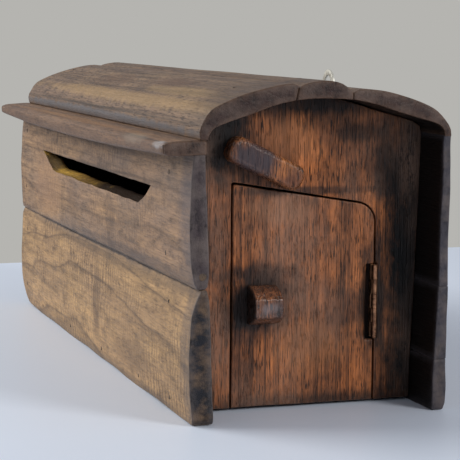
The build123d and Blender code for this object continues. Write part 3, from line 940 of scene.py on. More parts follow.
@dataclass
class Board:
    """A long board or stave: an outer and an inner curve, run along the case with every edge rounded.

    Corners of the board's face are rounded by far_low, far_high, near_low and near_high (millimetres).
    """

    name: str
    outer: Curve
    inner: Curve
    finish: WoodFinish
    slot: str = "case_wood"
    radius: float = 1.1
    far_low: float = 3.0
    far_high: float = 3.0
    near_low: float = 1.0
    near_high: float = 1.0
    swell: float = 0.6
    ragged: float = 0.5
    far_trim: float = 0.0
    seed: float = 0.0
    pitch: float = 4.0
    outer_far: Curve | None = None
    reshape: Callable[[Vector, float, float], Vector] | None = None

    def corner(self, a: float, b: float, length: float, width: float) -> tuple[float, float]:
        """Round the corners of the board's face.

        Args:
            a: distance along the board.
            b: distance across it.
            length: the board's length.
            width: its width.

        Returns:
            The moved distances along and across.
        """
        corners = ((0, 0, self.far_low), (0, 1, self.far_high), (1, 0, self.near_low), (1, 1, self.near_high))
        for at_front, at_top, size in corners:
            radius = size * MM
            da = (length - a if at_front else a) - radius
            db = (width - b if at_top else b) - radius
            if da >= 0 or db >= 0:
                continue
            shrink = max(-da, -db) / math.hypot(da, db)
            a = length - radius - da * shrink if at_front else radius + da * shrink
            b = width - radius - db * shrink if at_top else radius + db * shrink
        return a, b

    def place(self, a: float, b: float, c: float, size: tuple[float, float, float]) -> Vector:
        """Where a point of the flat board goes on the finished one.

        Args:
            a: distance along the board.
            b: distance across it.
            c: depth below its outer face.
            size: the board's length, width and thickness.

        Returns:
            The point in metres.
        """
        length, width, depth = size
        a, b = self.corner(a, b, length, width)
        share, deep = b / width, c / depth
        outer, inner = self.outer.at(share), self.inner.at(share)
        x = FAR_X + self.far_trim * MM + a
        if self.outer_far:
            outer = self.outer_far.at(share).lerp(outer, smooth(-0.12, 0.27, x))
        section = outer.lerp(inner, deep)
        out = (outer - inner).normalized()
        bulge = wander(x * 7, share * 1.7, 0, self.seed) * 0.6 + wander(x * 22, share * 5, 3, self.seed) * 0.25
        section += out * bulge * self.swell * (1 - 1.5 * deep)
        along = (self.outer.at(min(1.0, share + 0.02)) - self.outer.at(max(0.0, share - 0.02))).normalized()
        rim = 1 - smooth(0, 0.12, min(share, 1 - share))
        section += along * rim * wander(x * 16, 4, 0, self.seed) * self.ragged
        ends = 1 - smooth(0, 0.02, min(a, length - a))
        x += ends * wander(section.x * 0.06, section.y * 0.06, 8, self.seed) * self.ragged * MM
        point = spot(x / MM, section.x, section.y)
        return self.reshape(point, share, deep) if self.reshape else point

    def build(self) -> Piece:
        """Mesh the board as a rounded block bent to its section, with its zones painted on.

        Returns:
            The board's object.
        """
        radius = self.radius * MM
        length = CASE_LENGTH - self.far_trim * MM
        width = (self.outer.length + self.inner.length) / 2
        depth = max(2.2 * radius, (self.outer.at(0.5) - self.inner.at(0.5)).length * MM)
        size = (length, width, depth)
        grid = [
            lines_across(length, radius, self.pitch * MM),
            lines_across(width, radius, self.pitch * MM),
            lines_across(depth, radius, 4 * MM),
        ]
        points: list[Vector] = []
        zones: dict[Zone, list[float]] = {zone: [] for zone in Zone}
        index: dict[tuple[int, int, int], int] = {}
        last = [len(line) - 1 for line in grid]

        def corner_point(*key: int) -> int:
            """Find the vertex on three grid lines, made on first use.

            Args:
                key: the numbers of the grid lines.

            Returns:
                The vertex's number.
            """
            if key not in index:
                raw = Vector([line[step] for line, step in zip(grid, key)])
                core = Vector(min(max(v, radius), s - radius) for v, s in zip(raw, size))
                away = raw - core
                flat = core + away.normalized() * radius if away.length else raw
                index[key] = len(points)
                points.append(self.place(*flat, size))
                to_end = min(flat[0], length - flat[0])
                rims = sorted((to_end, min(flat[1], width - flat[1]), min(flat[2], depth - flat[2])))
                zones[Zone.END].append(1 - smooth(0.35 * radius, 1.1 * radius, to_end))
                # The inner face is marked for painted shade, the rims for wear and a painted highlight.
                zones[Zone.INSIDE].append(smooth(0.6, 0.9, flat[2] / depth))
                zones[Zone.EDGE].append(1 - smooth(0.5 * radius, 1.6 * radius, rims[1]))
            return index[key]

        faces: list[tuple[int, ...]] = []
        for fixed in range(3):
            first, second = (fixed + 1) % 3, (fixed + 2) % 3
            for side in (0, last[fixed]):
                for m in range(last[first]):
                    for n in range(last[second]):
                        ring = [(m, n), (m + 1, n), (m + 1, n + 1), (m, n + 1)]
                        if side == 0:
                            ring.reverse()
                        quad = []
                        for p, q in ring:
                            key = [0, 0, 0]
                            key[fixed], key[first], key[second] = side, p, q
                            quad.append(corner_point(*key))
                        faces.append(tuple(quad))
        piece = new_piece(self.name + "_timber", points, faces, self.finish.material())
        for zone, values in zones.items():
            write_zone(piece, zone, values)
        tidy_mesh(piece)
        return piece

    def make(self, cut: Callable[[Piece], None] | None = None) -> None:
        """Build the board, cut it if asked, and hand it over to the case.

        Args:
            cut: what is sawn out of it.
        """
        piece = self.build()
        if cut:
            cut(piece)
        hand_over(piece, CASE_BODY, self.slot, self.name)


@dataclass
class Slab:
    """A flat piece sawn to an outline: extruded, its edges rounded, then cut fine enough to be worn.

    outline holds (u, z) points in millimetres; back and front are x in metres.
    """

    name: str
    outline: Sequence[Point]
    back: float
    front: float
    finish: WoodFinish
    bevel: float = 1.0
    pitch: float = 7.0
    swell: float = 0.3
    seed: float = 0.0

    def build(self) -> Piece:
        """Mesh the slab.

        Returns:
            The slab's object, with its zones painted on.
        """
        ring = [spot(self.back / MM, u, z) for u, z in self.outline]
        mesh = extruded(ring, (self.front - self.back, 0, 0))
        rims = [e for e in mesh.edges if abs(e.verts[0].co.x - e.verts[1].co.x) < 1e-7]
        round_off(mesh, rims, self.bevel * MM, 3, 0.6)
        refine(mesh, self.pitch * MM, (1, 2))
        for vertex in mesh.verts:
            self.wear(vertex)
        piece = mesh_piece(self.name, mesh, self.finish.material(), 50)
        depths = [abs(self.front - v.co.x) for v in piece.data.vertices]
        # The rims of the front face are marked for wear and a painted highlight, the faces behind it for painted shade.
        rim = [1 - smooth(0.2 * MM, 1.2 * self.bevel * MM, depth) for depth in depths]
        inside = [smooth(1.5 * MM, 4 * MM, depth) for depth in depths]
        write_zone(piece, Zone.EDGE, [4 * r * (1 - r) for r in rim])
        write_zone(piece, Zone.INSIDE, inside)
        write_zone(piece, Zone.END, [0.0] * len(inside))
        return piece

    def wear(self, vertex: bmesh.types.BMVert) -> None:
        """Move one vertex by the hand-planed waviness of the faces and edges.

        Args:
            vertex: the vertex.
        """
        x, y, z = vertex.co
        wave = wander(y * 26, z * 14, 0, self.seed) + 0.4 * wander(y * 90, z * 40, 2, self.seed)
        face = smooth(0, 0.4, (x - self.back) / (self.front - self.back))
        vertex.co.x += (wave - 1.0) * self.swell * MM * face * (1 if self.front > self.back else -1)
        vertex.co.y += wander(y * 40, z * 30, 5, self.seed) * 0.25 * MM
        vertex.co.z += wander(y * 40, z * 30, 9, self.seed) * 0.3 * MM


def cut_away(piece: Piece, cutter: Piece) -> None:
    """Cut one mesh out of another, then remove the cutter.

    Args:
        piece: the object that keeps the difference.
        cutter: the object that is used up.
    """
    cut = piece.modifiers.new("cut", "BOOLEAN")
    cut.object = cutter
    cut.solver = "EXACT"
    cut.material_mode = "TRANSFER"
    settle(piece)
    bpy.data.objects.remove(cutter)
    last = len(piece.data.materials) - 1
    sawn = {corner for face in piece.data.polygons if face.material_index == last for corner in face.vertices}
    for zone in Zone:
        values = piece.data.attributes[zone.value].data
        for corner in sawn:
            values[corner].value = 0.0


def prism(name: str, corners: Sequence[Point], to_place: Callable[[float, float, float], Vector],
          depths: Sequence[float], material: Material) -> Piece:
    """A closed prism over an outline, used to cut openings.

    Args:
        name: the object's name.
        corners: the outline's points.
        to_place: turns an outline point and a depth into a place in metres.
        depths: the depths of its cross sections, in order.
        material: the material of its walls.

    Returns:
        The prism's object.
    """
    count = len(corners)
    points = [to_place(a, b, depth) for depth in depths for a, b in corners]
    faces: list[Sequence[int]] = [list(range(count)), list(range((len(depths) - 1) * count, len(depths) * count))]
    for layer in range(len(depths) - 1):
        for i in range(count):
            j = (i + 1) % count
            base = layer * count
            faces.append([base + i, base + j, base + count + j, base + count + i])
    piece = new_piece(name, points, faces, material)
    for zone in Zone:
        write_zone(piece, zone, [0.0] * len(points))
    tidy_mesh(piece)
    return piece


# ------------------------------------------------------------------------------------ the case


@dataclass
class SlotWall:
    """The two boards of the slot side, with the sawn mail slot and the dowel in the front edge."""

    slot_corners: tuple[Point, ...] = ((-170.5, 147.4), (171.0, 147.4), (141.0, 133.8), (-128.0, 133.8))
    slot_depths: tuple[float, ...] = (-6.0, 0.0, 1.2, 3.0, 6.0, 9.0, 16.0)
    face: float = -91.0
    dowel_place: Point = (-82.6, 97.5)
    dowel_radius: float = 2.9

    def slot_outline(self) -> list[Point]:
        """Draw the mail slot: straight above, worn uneven below, with softened ends.

        Returns:
            Its ragged outline, as (x, z) points in millimetres.
        """
        far_top, near_top, near_low, far_low = self.slot_corners
        outline: list[Point] = []
        for i in range(24):
            x = far_top[0] + (near_top[0] - far_top[0]) * i / 24
            outline.append((x, far_top[1] + 0.5 * wander(x * 0.05, 0, 0, 1.0)))
        for i in range(7):
            t = i / 7
            sag = 2.2 * math.sin(math.pi * t)
            x = near_top[0] + (near_low[0] - near_top[0]) * t
            z = near_top[1] + (near_low[1] - near_top[1]) * t
            outline.append((x + 0.35 * sag, z - sag * 0.8))
        for i in range(24):
            x = near_low[0] + (far_low[0] - near_low[0]) * i / 24
            outline.append((x, near_low[1] - 0.5 + 0.9 * wander(x * 0.06, 3, 0, 2.0)))
        for i in range(5):
            t = i / 5
            x = far_low[0] + (far_top[0] - far_low[0]) * t
            outline.append((x, far_low[1] + (far_top[1] - far_low[1]) * t + 0.3 * wander(x * 0.3, 6, 0, 2.0)))
        return outline

    def cut_slot(self, board: Piece) -> None:
        """Saw the mail slot through the upper board, flaring a little at the outer face.

        Args:
            board: the upper board.
        """
        middle_z = (self.slot_corners[0][1] + self.slot_corners[2][1]) / 2

        def place(x: float, z: float, depth: float) -> Vector:
            """Place a point of the slot's wall, opened out near the face of the board.

            Args:
                x: where it is along the slot, in millimetres.
                z: its height in the outline.
                depth: how far it is behind the face.

            Returns:
                The point in metres.
            """
            flare = 1 + 0.05 * (1 - smooth(-1, 3.0, depth))
            rise = 1.9 + 1.5 * wander(x * 0.035, depth * 0.1, 0, 6.0)
            lift = rise * smooth(0.5, 8.5, depth) if z < middle_z else 0.0
            return spot(x, self.face + depth, middle_z + (z - middle_z) * flare + lift)

        cut_away(board, prism("slot_cutter", self.slot_outline(), place, self.slot_depths, FRESH_CUT.material()))

    def build(self) -> None:
        """Make both boards and the dowel, and hand them over."""
        Board(
            "slot_wall_lower_board",
            outer=Curve((-88.6, 0), (-90.6, 22), (-91.0, 46), (-89.8, 68), (-86.6, 81), (-83.4, 88.2)),
            outer_far=Curve((-88.4, 0), (-90.4, 22), (-91.0, 46), (-90.4, 68), (-89.6, 84), (-87.6, 88.2)),
            inner=Curve((-74.4, 0), (-75.5, 40), (-77.0, 76), (-79.6, 88.2)),
            finish=LOWER_SIDE, radius=1.3, far_low=30.0, far_high=2.0, near_low=4.0, near_high=1.4,
            swell=1.0, ragged=1.8, seed=1.0,
        ).make()
        Board(
            "slot_wall_upper_board",
            outer=Curve((-84.6, 87.9), (-87.6, 92.5), (-90.2, 106), (-91.0, 132), (-89.8, 156), (-88.2, 174.6)),
            outer_far=Curve((-88.2, 87.9), (-89.8, 92.5), (-90.6, 108), (-91.0, 132), (-89.8, 156), (-88.2, 174.6)),
            inner=Curve((-80.4, 87.6), (-78.0, 96), (-79.4, 140), (-81.0, 174.6)),
            finish=SLOT_SIDE, radius=1.3, far_low=2.0, far_high=2.0, near_low=3.0, near_high=1.4,
            swell=1.0, ragged=1.6, seed=2.0,
        ).make(self.cut_slot)
        self.build_dowel()

    def build_dowel(self) -> None:
        """The end of a round dowel, a little proud and worn, in the front edge of the upper board."""
        rings = ((-4.0, 1.0), (-0.6, 1.0), (0.15, 0.94), (0.55, 0.72), (0.6, 0.35), (0.5, 0.0))
        points: list[Vector] = []
        faces: list[Sequence[int]] = []
        steps = 28
        u0, z0 = self.dowel_place
        for out, share in rings:
            for i in range(steps):
                angle = 2 * math.pi * i / steps
                r = self.dowel_radius * share * (1 + 0.05 * math.sin(3 * angle + 1))
                u, z = u0 + r * math.cos(angle), z0 + r * math.sin(angle)
                dish = 0.12 * wander(u * 0.8, z * 0.8, 0, 3.0)
                points.append(spot(FRONT_X / MM + out + dish, u, z))
        for layer in range(len(rings) - 1):
            for i in range(steps):
                j = (i + 1) % steps
                faces.append((layer * steps + i, layer * steps + j, (layer + 1) * steps + j, (layer + 1) * steps + i))
        faces.append(tuple(range(steps)))
        piece = new_piece("edge_dowel_end", points, faces, LOWER_SIDE.material())
        tidy_mesh(piece, merge=0.02)
        count = len(piece.data.vertices)
        for zone, value in ((Zone.END, 0.8), (Zone.INSIDE, 0.0), (Zone.EDGE, 0.0)):
            write_zone(piece, zone, [value] * count)
        hand_over(piece, CASE_BODY, "case_wood", "edge_dowel")


@dataclass
class RainLedge:
    """The ledge over the mail slot: a flat stick with a bowed, rounded lip."""

    bow: float = 4.0

    def build(self) -> None:
        """Make the ledge and hand it over."""

        def hang(point: Vector, share: float, deep: float) -> Vector:
            """Let the lip hang lower in the middle of its length.

            Args:
                point: the point in metres.
                share: its share of the width.
                deep: its share of the thickness.

            Returns:
                The moved point.
            """
            lip = smooth(-90, -99, (point.y - CASE_MIDDLE) / MM)
            arch = 1 - (point.x / (CASE_LENGTH / 2)) ** 2
            point.z -= self.bow * MM * lip * max(0.0, arch) * smooth(0.35, 0.85, deep)
            return point

        stains = (
            StainOrPaintedLight((252, -109, 182), (12, 6, 4), rgb(190, 190, 192), 0.6),
            StainOrPaintedLight((190, -106, 182), (30, 9, 5), rgb(150, 138, 122), 0.5),
            StainOrPaintedLight((0, -100, 184), (300, 6, 5), rgb(160, 116, 74), 0.4),
        )
        Board(
            "rain_ledge",
            outer=Curve((-79.8, 184.4), (-92, 184.3), (-104, 183.4), (-109.8, 181.6)),
            inner=Curve((-79.8, 174.6), (-92, 174.5), (-103, 174.6), (-109.4, 176.0)),
            # Its underside takes a darker inside colour: painted shade.
            finish=replace(ROOF_TOP, name="ledge_timber", base=rgb(140, 110, 88), light=rgb(168, 132, 94),
                           weather=rgb(124, 104, 92), inside=rgb(104, 84, 72), seed=8.2, ring_tilt=0.2,
                           stains=stains),
            radius=1.9, far_low=2.0, near_high=6.0, swell=0.5, ragged=0.9, seed=4.0, pitch=3.0, reshape=hang,
        ).make()


@dataclass
class BarrelRoof:
    """Three hollowed staves side by side: the slot side one with its worn foot, the ridge and the wall side one."""

    foot_groove: float = 0.5

    def groove(self, point: Vector, share: float, deep: float) -> Vector:
        """Score the foot of the slot side stave with shallow lines along the grain.

        Args:
            point: the point in metres.
            share: its share of the stave's width.
            deep: its share of the thickness.

        Returns:
            The moved point.
        """
        if deep < 0.3 and share < 0.2:
            score = math.sin((point.z / MM) * 2.6 + 1.5 * wander(point.x * 9, 0, 0, 5.0))
            point.y += self.foot_groove * MM * max(0.0, score) * smooth(0.2, 0.13, share)
        return point

    def build(self) -> None:
        """Make the three staves and hand them over."""
        Board(
            "roof_slot_side_stave",
            outer=Curve((-84.2, 184.0), (-85.2, 189.6), (-83.8, 193.6), (-81.6, 197.6), (-77.4, 203.2), (-68.3, 207.9),
                        (-56, 212.6), (-42, 216.6), (-30, 219.0), (-20.6, 219.4), (-18.4, 217.6)),
            inner=Curve((-79.8, 184.0), (-76.2, 190.8), (-68, 194.6), (-47, 201.6), (-32, 206.6), (-20.2, 209.2)),
            finish=ROOF_TOP, slot="roof_wood", radius=1.2, far_trim=3.0, far_low=6.0, far_high=5.0, near_low=1.6,
            swell=0.9, ragged=0.8, seed=5.0, pitch=3.6, reshape=self.groove,
        ).make()
        Board(
            "roof_ridge_stave",
            outer=Curve((-18.2, 217.2), (-15.2, 219.2), (-8, 221.0), (2, 221.6), (12, 219.4), (19.2, 214.2)),
            inner=Curve((-19.6, 209.0), (-10, 209.9), (0, 210.2), (10, 210.0), (19.4, 209.4)),
            finish=replace(ROOF_TOP, name="ridge_timber", seed=2.9, base=rgb(124, 100, 80)),
            slot="roof_wood", swell=0.7, far_trim=2.0, seed=6.0, pitch=3.6,
        ).make()
        Board(
            "roof_wall_side_stave",
            outer=Curve((19.4, 214.0), (25, 216.2), (40, 215.2), (56, 211.4), (70, 206.6), (79, 202.0), (86.2, 195.0),
                        (89.6, 189.6), (90.3, 184.2)),
            inner=Curve((19.8, 209.6), (36, 206.0), (52, 201.0), (68, 196.6), (78, 193.8), (84.2, 190.2),
                        (85.4, 184.2)),
            finish=replace(ROOF_TOP, name="wall_stave_timber", seed=3.7, base=rgb(118, 96, 78)),
            slot="roof_wood", seed=7.0, pitch=3.6,
        ).make()


@dataclass
class WallSide:
    """The three plain boards of the side that hangs against the wall."""

    def build(self) -> None:
        """Make the boards and hand them over."""
        shapes = (
            ("wall_side_upper_board", (90.0, 84.8), (90.0, 186.4), (82.9, 84.8), (85.0, 186.4), 8.0),
            ("wall_side_middle_board", (90.0, 34.8), (90.0, 85.2), (80.9, 34.8), (82.7, 85.2), 9.0),
            ("wall_side_lower_board", (88.0, 0.0), (90.0, 35.2), (79.9, 0.0), (80.8, 35.2), 10.0),
        )
        for name, outer_low, outer_high, inner_low, inner_high, seed in shapes:
            middle = tuple((a + b) / 2 for a, b in zip(outer_low, outer_high))
            if outer_low[0] < outer_high[0]:
                outer = Curve(outer_low, (89.6, 4.6), (90.0, 12.0), outer_high)
            else:
                outer = Curve(outer_low, middle, outer_high)
            # Nearly black inner faces are painted shade, and the pale rims are partly a painted highlight.
            finish = replace(SLOT_SIDE, name="wall_side_timber", seed=seed, base=rgb(138, 114, 92),
                             light=rgb(158, 130, 98), end=rgb(40, 38, 46), inside=rgb(12, 8, 7),
                             edge=rgb(92, 88, 92), curl_strength=0.0, stains=())
            Board(name, outer, Curve(inner_low, inner_high), finish, near_low=1.2, near_high=1.2, swell=0.35,
                  ragged=1.2, seed=seed).make()


@dataclass
class Inside:
    """The plain timber inside the case: the far end, the floor and the cleat that the door shuts against."""

    def build(self) -> None:
        """Make the three pieces and hand them over."""
        outline = panel_outline()
        far_low, far_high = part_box("far_end_panel")
        finish = replace(SLOT_SIDE, name="far_end_finish", fibres=Grain.UPRIGHT, seed=4.4, base=rgb(128, 100, 78))
        far = Slab("far_end_timber", outline, far_high[0], far_low[0], finish, seed=11.0)
        hand_over(far.build(), CASE_BODY, "inner_wood", "far_end_panel")
        for name, seed in (("floor_board", 12.0), ("door_stop_cleat", 13.0)):
            low, high = (tuple(v / MM for v in corner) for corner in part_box(name))
            u0, u1 = low[1] - CASE_MIDDLE / MM, high[1] - CASE_MIDDLE / MM
            block = Slab(name + "_timber", [(u0, low[2]), (u1, low[2]), (u1, high[2]), (u0, high[2])],
                         high[0] * MM, low[0] * MM, HIDDEN, bevel=1.2, pitch=9.0, swell=0.2, seed=seed)
            hand_over(block.build(), CASE_BODY, "inner_wood", name)


def panel_outline() -> list[Point]:
    """Draw an end panel: the inside of the case, all the way round.

    Returns:
        Its (u, z) points in millimetres.
    """
    foot = [(79.5, 2.0), (-74.0, 2.0), (-76.6, 88.0), (-79.2, 173.4), (-79.2, 183.6), (-75.5, 190.4)]
    vault = Curve((-75.5, 190.4), (-47.0, 201.2), (-20.0, 208.6), (0.0, 209.8), (19.5, 209.2), (51.8, 200.6),
                  (77.8, 193.4))
    arch = [tuple(vault.at(i / 24)) for i in range(1, 25)]
    return foot + arch + [(84.0, 189.8), (85.2, 185.0), (82.3, 85.0), (80.3, 35.0)]


@dataclass
class DoorShape:
    """The door's outline, shared by the door and by the opening that it shuts."""

    left: float = -50.0
    right: float = 51.8
    foot: float = 2.0
    left_top: float = 152.5
    right_top: float = 135.8
    corner: float = 14.0

    def outline(self, margin: float) -> list[Point]:
        """The outline grown by a margin, in millimetres: straight sides, a sloping top, one round corner.

        Args:
            margin: how far outside the door the outline runs.

        Returns:
            Its points, from the foot of the hinge side round by the foot.
        """
        slope = (self.right_top - self.left_top) / (self.right - self.left)
        tilt = math.atan(slope)
        left, right = self.left - margin, self.right + margin
        radius = self.corner + margin
        top_at_right = self.right_top + margin / math.cos(tilt) + slope * margin
        top_at_left = self.left_top + margin / math.cos(tilt) - slope * margin
        centre_u = right - radius
        centre_z = top_at_right - slope * radius - radius / math.cos(tilt)
        points = [(left, self.foot - 2 * margin), (right, self.foot - 2 * margin)]
        for i in range(13):
            angle = (math.pi / 2 + tilt) * i / 12
            points.append((centre_u + radius * math.cos(angle), centre_z + radius * math.sin(angle)))
        points += [(left + 1.2, top_at_left - 0.2), (left, top_at_left - 1.2)]
        return points


@dataclass
class EndPanel:
    """The wide end board with the doorway sawn out of it and the pocket for the hinge barrel."""

    doorway: DoorShape = field(default_factory=DoorShape)
    gap: float = 1.3

    def build(self) -> None:
        """Make the panel as an arch over the doorway and hand it over."""
        panel = Slab("end_panel_timber", self.outline(), PANEL_BACK_X, PANEL_FRONT_X, door_finish(0.0), bevel=0.8,
                     pitch=6.0, seed=20.0)
        piece = panel.build()
        chop(piece, (227.5, 232), (51.6, 55.6), (44.5, 96.0))
        chop(piece, (211.9, 230), (52.0, 54.35), (45.4, 95.1))
        hand_over(piece, CASE_BODY, "door_wood", "door_end_panel")

    def outline(self) -> list[Point]:
        """Draw the panel less the doorway, as one ring that opens at the foot.

        Returns:
            Its (u, z) points in millimetres.
        """
        opening = self.doorway.outline(self.gap)
        left_foot, right_side = opening[0], opening[1:]
        outer = panel_outline()
        right, left = outer[0], outer[1]
        way_round = [right, *reversed(outer[2:]), left]
        inner = [(left_foot[0], 2.0)] + list(reversed(right_side[1:])) + [(right_side[0][0], 2.0)]
        return way_round + inner


def door_finish(shade: float) -> WoodFinish:
    """The door end's timber with its marks: the burnt knot, painted shade round the edges of the hood and by the hinge,
    the knob's painted shadow, a painted highlight high in the middle, and other dark and light patches.

    Args:
        shade: 0 for the panel and 1 for the door, whose grain differs.

    Returns:
        The finish.
    """
    stains = (
        StainOrPaintedLight((228, -62, 180), (30, 26, 34), rgb(14, 12, 13), 1.0),
        StainOrPaintedLight((228, -70, 196), (30, 30, 22), rgb(16, 13, 13), 1.0),
        # The knob's painted shadow, cast to its left.
        StainOrPaintedLight((228, -34, 72), (30, 30, 30), rgb(22, 15, 14), 0.95),
        StainOrPaintedLight((228, -30, 92), (30, 36, 8), rgb(26, 18, 16), 0.7),
        # Painted shade by the hinge.
        StainOrPaintedLight((228, 50, 72), (30, 13, 44), rgb(20, 14, 12), 0.92),
        # Painted shade under the roof.
        StainOrPaintedLight((228, 8, 208), (30, 90, 12), rgb(18, 13, 12), 0.9),
        StainOrPaintedLight((228, 10, 0), (30, 110, 12), rgb(26, 18, 16), 0.8),
        # Painted shade from the hood's right wall, down the right side and into the upper right corner.
        StainOrPaintedLight((228, 86, 90), (30, 34, 220), rgb(10, 7, 6), 1.0),
        StainOrPaintedLight((228, 60, 160), (30, 16, 30), rgb(22, 15, 13), 0.85),
        StainOrPaintedLight((228, 40, 186), (30, 26, 8), rgb(26, 18, 15), 0.7),
        # Painted shade along the slot side wall.
        StainOrPaintedLight((228, -76, 60), (30, 9, 120), rgb(28, 19, 17), 0.7),
        StainOrPaintedLight((228, 0, 147), (30, 60, 3.5), rgb(34, 23, 19), 0.7),
        # A painted highlight high in the middle of the panel.
        StainOrPaintedLight((228, -10, 180), (30, 26, 18), rgb(190, 124, 78), 0.35),
        StainOrPaintedLight((228, 4, 40), (30, 34, 22), rgb(176, 116, 72), 0.3),
        StainOrPaintedLight((228, -16, 134), (30, 26, 12), rgb(166, 118, 86), 0.4),
    )
    return replace(DOOR_END, name="door_timber" if shade else "end_panel_finish", seed=3.4 + shade, stains=stains)


def chop(piece: Piece, xs: Point, us: Point, zs: Point) -> None:
    """Chop a square-cut recess out of a piece.

    Args:
        piece: the panel or the door.
        xs: the recess from back to front, in millimetres.
        us: its two sides across the case.
        zs: its foot and its top.
    """
    corners = [(us[0], zs[0]), (us[1], zs[0]), (us[1], zs[1]), (us[0], zs[1])]
    cutter = prism("recess_cutter", corners, lambda u, z, depth: spot(depth, u, z), xs, SHADED_RECESS.material())
    cut_away(piece, cutter)


# ------------------------------------------------------------------------------------ the door


@dataclass
class Door:
    """The end door: its board with the chopped hinge pocket, and the faceted knob."""

    shape: DoorShape = field(default_factory=DoorShape)
    relief: float = 2.6
    pocket_width: float = 6.2
    pocket_depth: float = 5.0
    knob_u: float = -29.7
    knob_z: float = 71.5
    knob_width: float = 20.0

    def build(self) -> None:
        """Make the board and the knob and hand them over."""
        board = Slab("door_timber_board", self.shape.outline(0.0), PANEL_BACK_X + 0.5 * MM, PANEL_FRONT_X,
                     door_finish(1.0), bevel=1.1, pitch=5.0, swell=0.35, seed=21.0)
        piece = board.build()
        self.plane_closing_edge(piece)
        self.chop_pocket(piece)
        chop(piece, (211.9, 226), (50.4, 54.0), (45.4, 95.1))
        hand_over(piece, DOOR_BODY, "door_wood", "door_board")
        self.build_knob()

    def plane_closing_edge(self, piece: Piece) -> None:
        """Plane the closing edge back towards the rear, so that its corner clears the frame.

        Args:
            piece: the door's board.
        """
        left = CASE_MIDDLE + self.shape.left * MM
        depth = PANEL_FRONT_X - PANEL_BACK_X
        for vertex in piece.data.vertices:
            back = (PANEL_FRONT_X - 1.5 * MM - vertex.co.x) / depth
            near_edge = 1 - smooth(0, 12 * MM, vertex.co.y - left - 1.2 * MM)
            vertex.co.y += self.relief * MM * max(0.0, back) * near_edge

    def chop_pocket(self, piece: Piece) -> None:
        """Chop the shallow pocket that the hinge knuckles sit in.

        Args:
            piece: the door's board.
        """
        right = self.shape.right
        corners = [(right - self.pocket_width, 44.3), (right + 3, 44.3), (right + 3, 96.2),
                   (right - self.pocket_width + 0.3, 96.0), (right - self.pocket_width - 0.3, 70.0)]

        def place(u: float, z: float, depth: float) -> Vector:
            """A point of the pocket's wall, a little ragged."""
            return spot(PANEL_FRONT_X / MM + depth, u + 0.2 * wander(u, z * 0.2, depth, 1.0), z)

        cut_away(piece, prism("pocket_cutter", corners, place, [-self.pocket_depth, 4.0], SHADED_RECESS.material()))

    def build_knob(self) -> None:
        """Whittle the knob: a half round block with flat facets, its arrises softened."""
        profile = [(0.0, 13.0), (3.6, 13.0), (11.6, 10.2), (17.4, 6.0), (18.0, 0.0), (17.4, -6.2), (11.8, -10.4),
                   (3.6, -13.0), (0.0, -13.0)]
        side = self.knob_u - self.knob_width / 2
        ring = [spot(PANEL_FRONT_X / MM + x, side, self.knob_z + z) for x, z in profile]
        mesh = extruded(ring, (0, self.knob_width * MM, 0))
        outer = [e for e in mesh.edges if max(v.co.x for v in e.verts) > PANEL_FRONT_X + 0.1 * MM]
        round_off(mesh, outer, 1.3 * MM, 4, 0.55, clamp=True)
        refine(mesh, 1.6 * MM)
        for vertex in mesh.verts:
            x, y, z = vertex.co
            lift = smooth(0, 5 * MM, x - PANEL_FRONT_X)
            for axis, share in enumerate((lift, 1.0, 1.0)):
                vertex.co[axis] += 0.35 * MM * wander(x * 110, y * 110, z * 110, axis + 4.0) * share
        piece = mesh_piece("knob_timber", mesh, HANDLED_KNOB.material())
        dress_zones(piece, 38)
        middle = CASE_MIDDLE + self.knob_u * MM
        half = self.knob_width / 2 * MM
        # Both ends of the knob take the dark end colour: end grain, darkened as painted shade.
        ends = [smooth(half - 1.4 * MM, half - 0.3 * MM, abs(v.co.y - middle)) for v in piece.data.vertices]
        piece.data.attributes[Zone.END.value].data.foreach_set("value", ends)
        hand_over(piece, DOOR_BODY, "handled_wood", "door_knob")


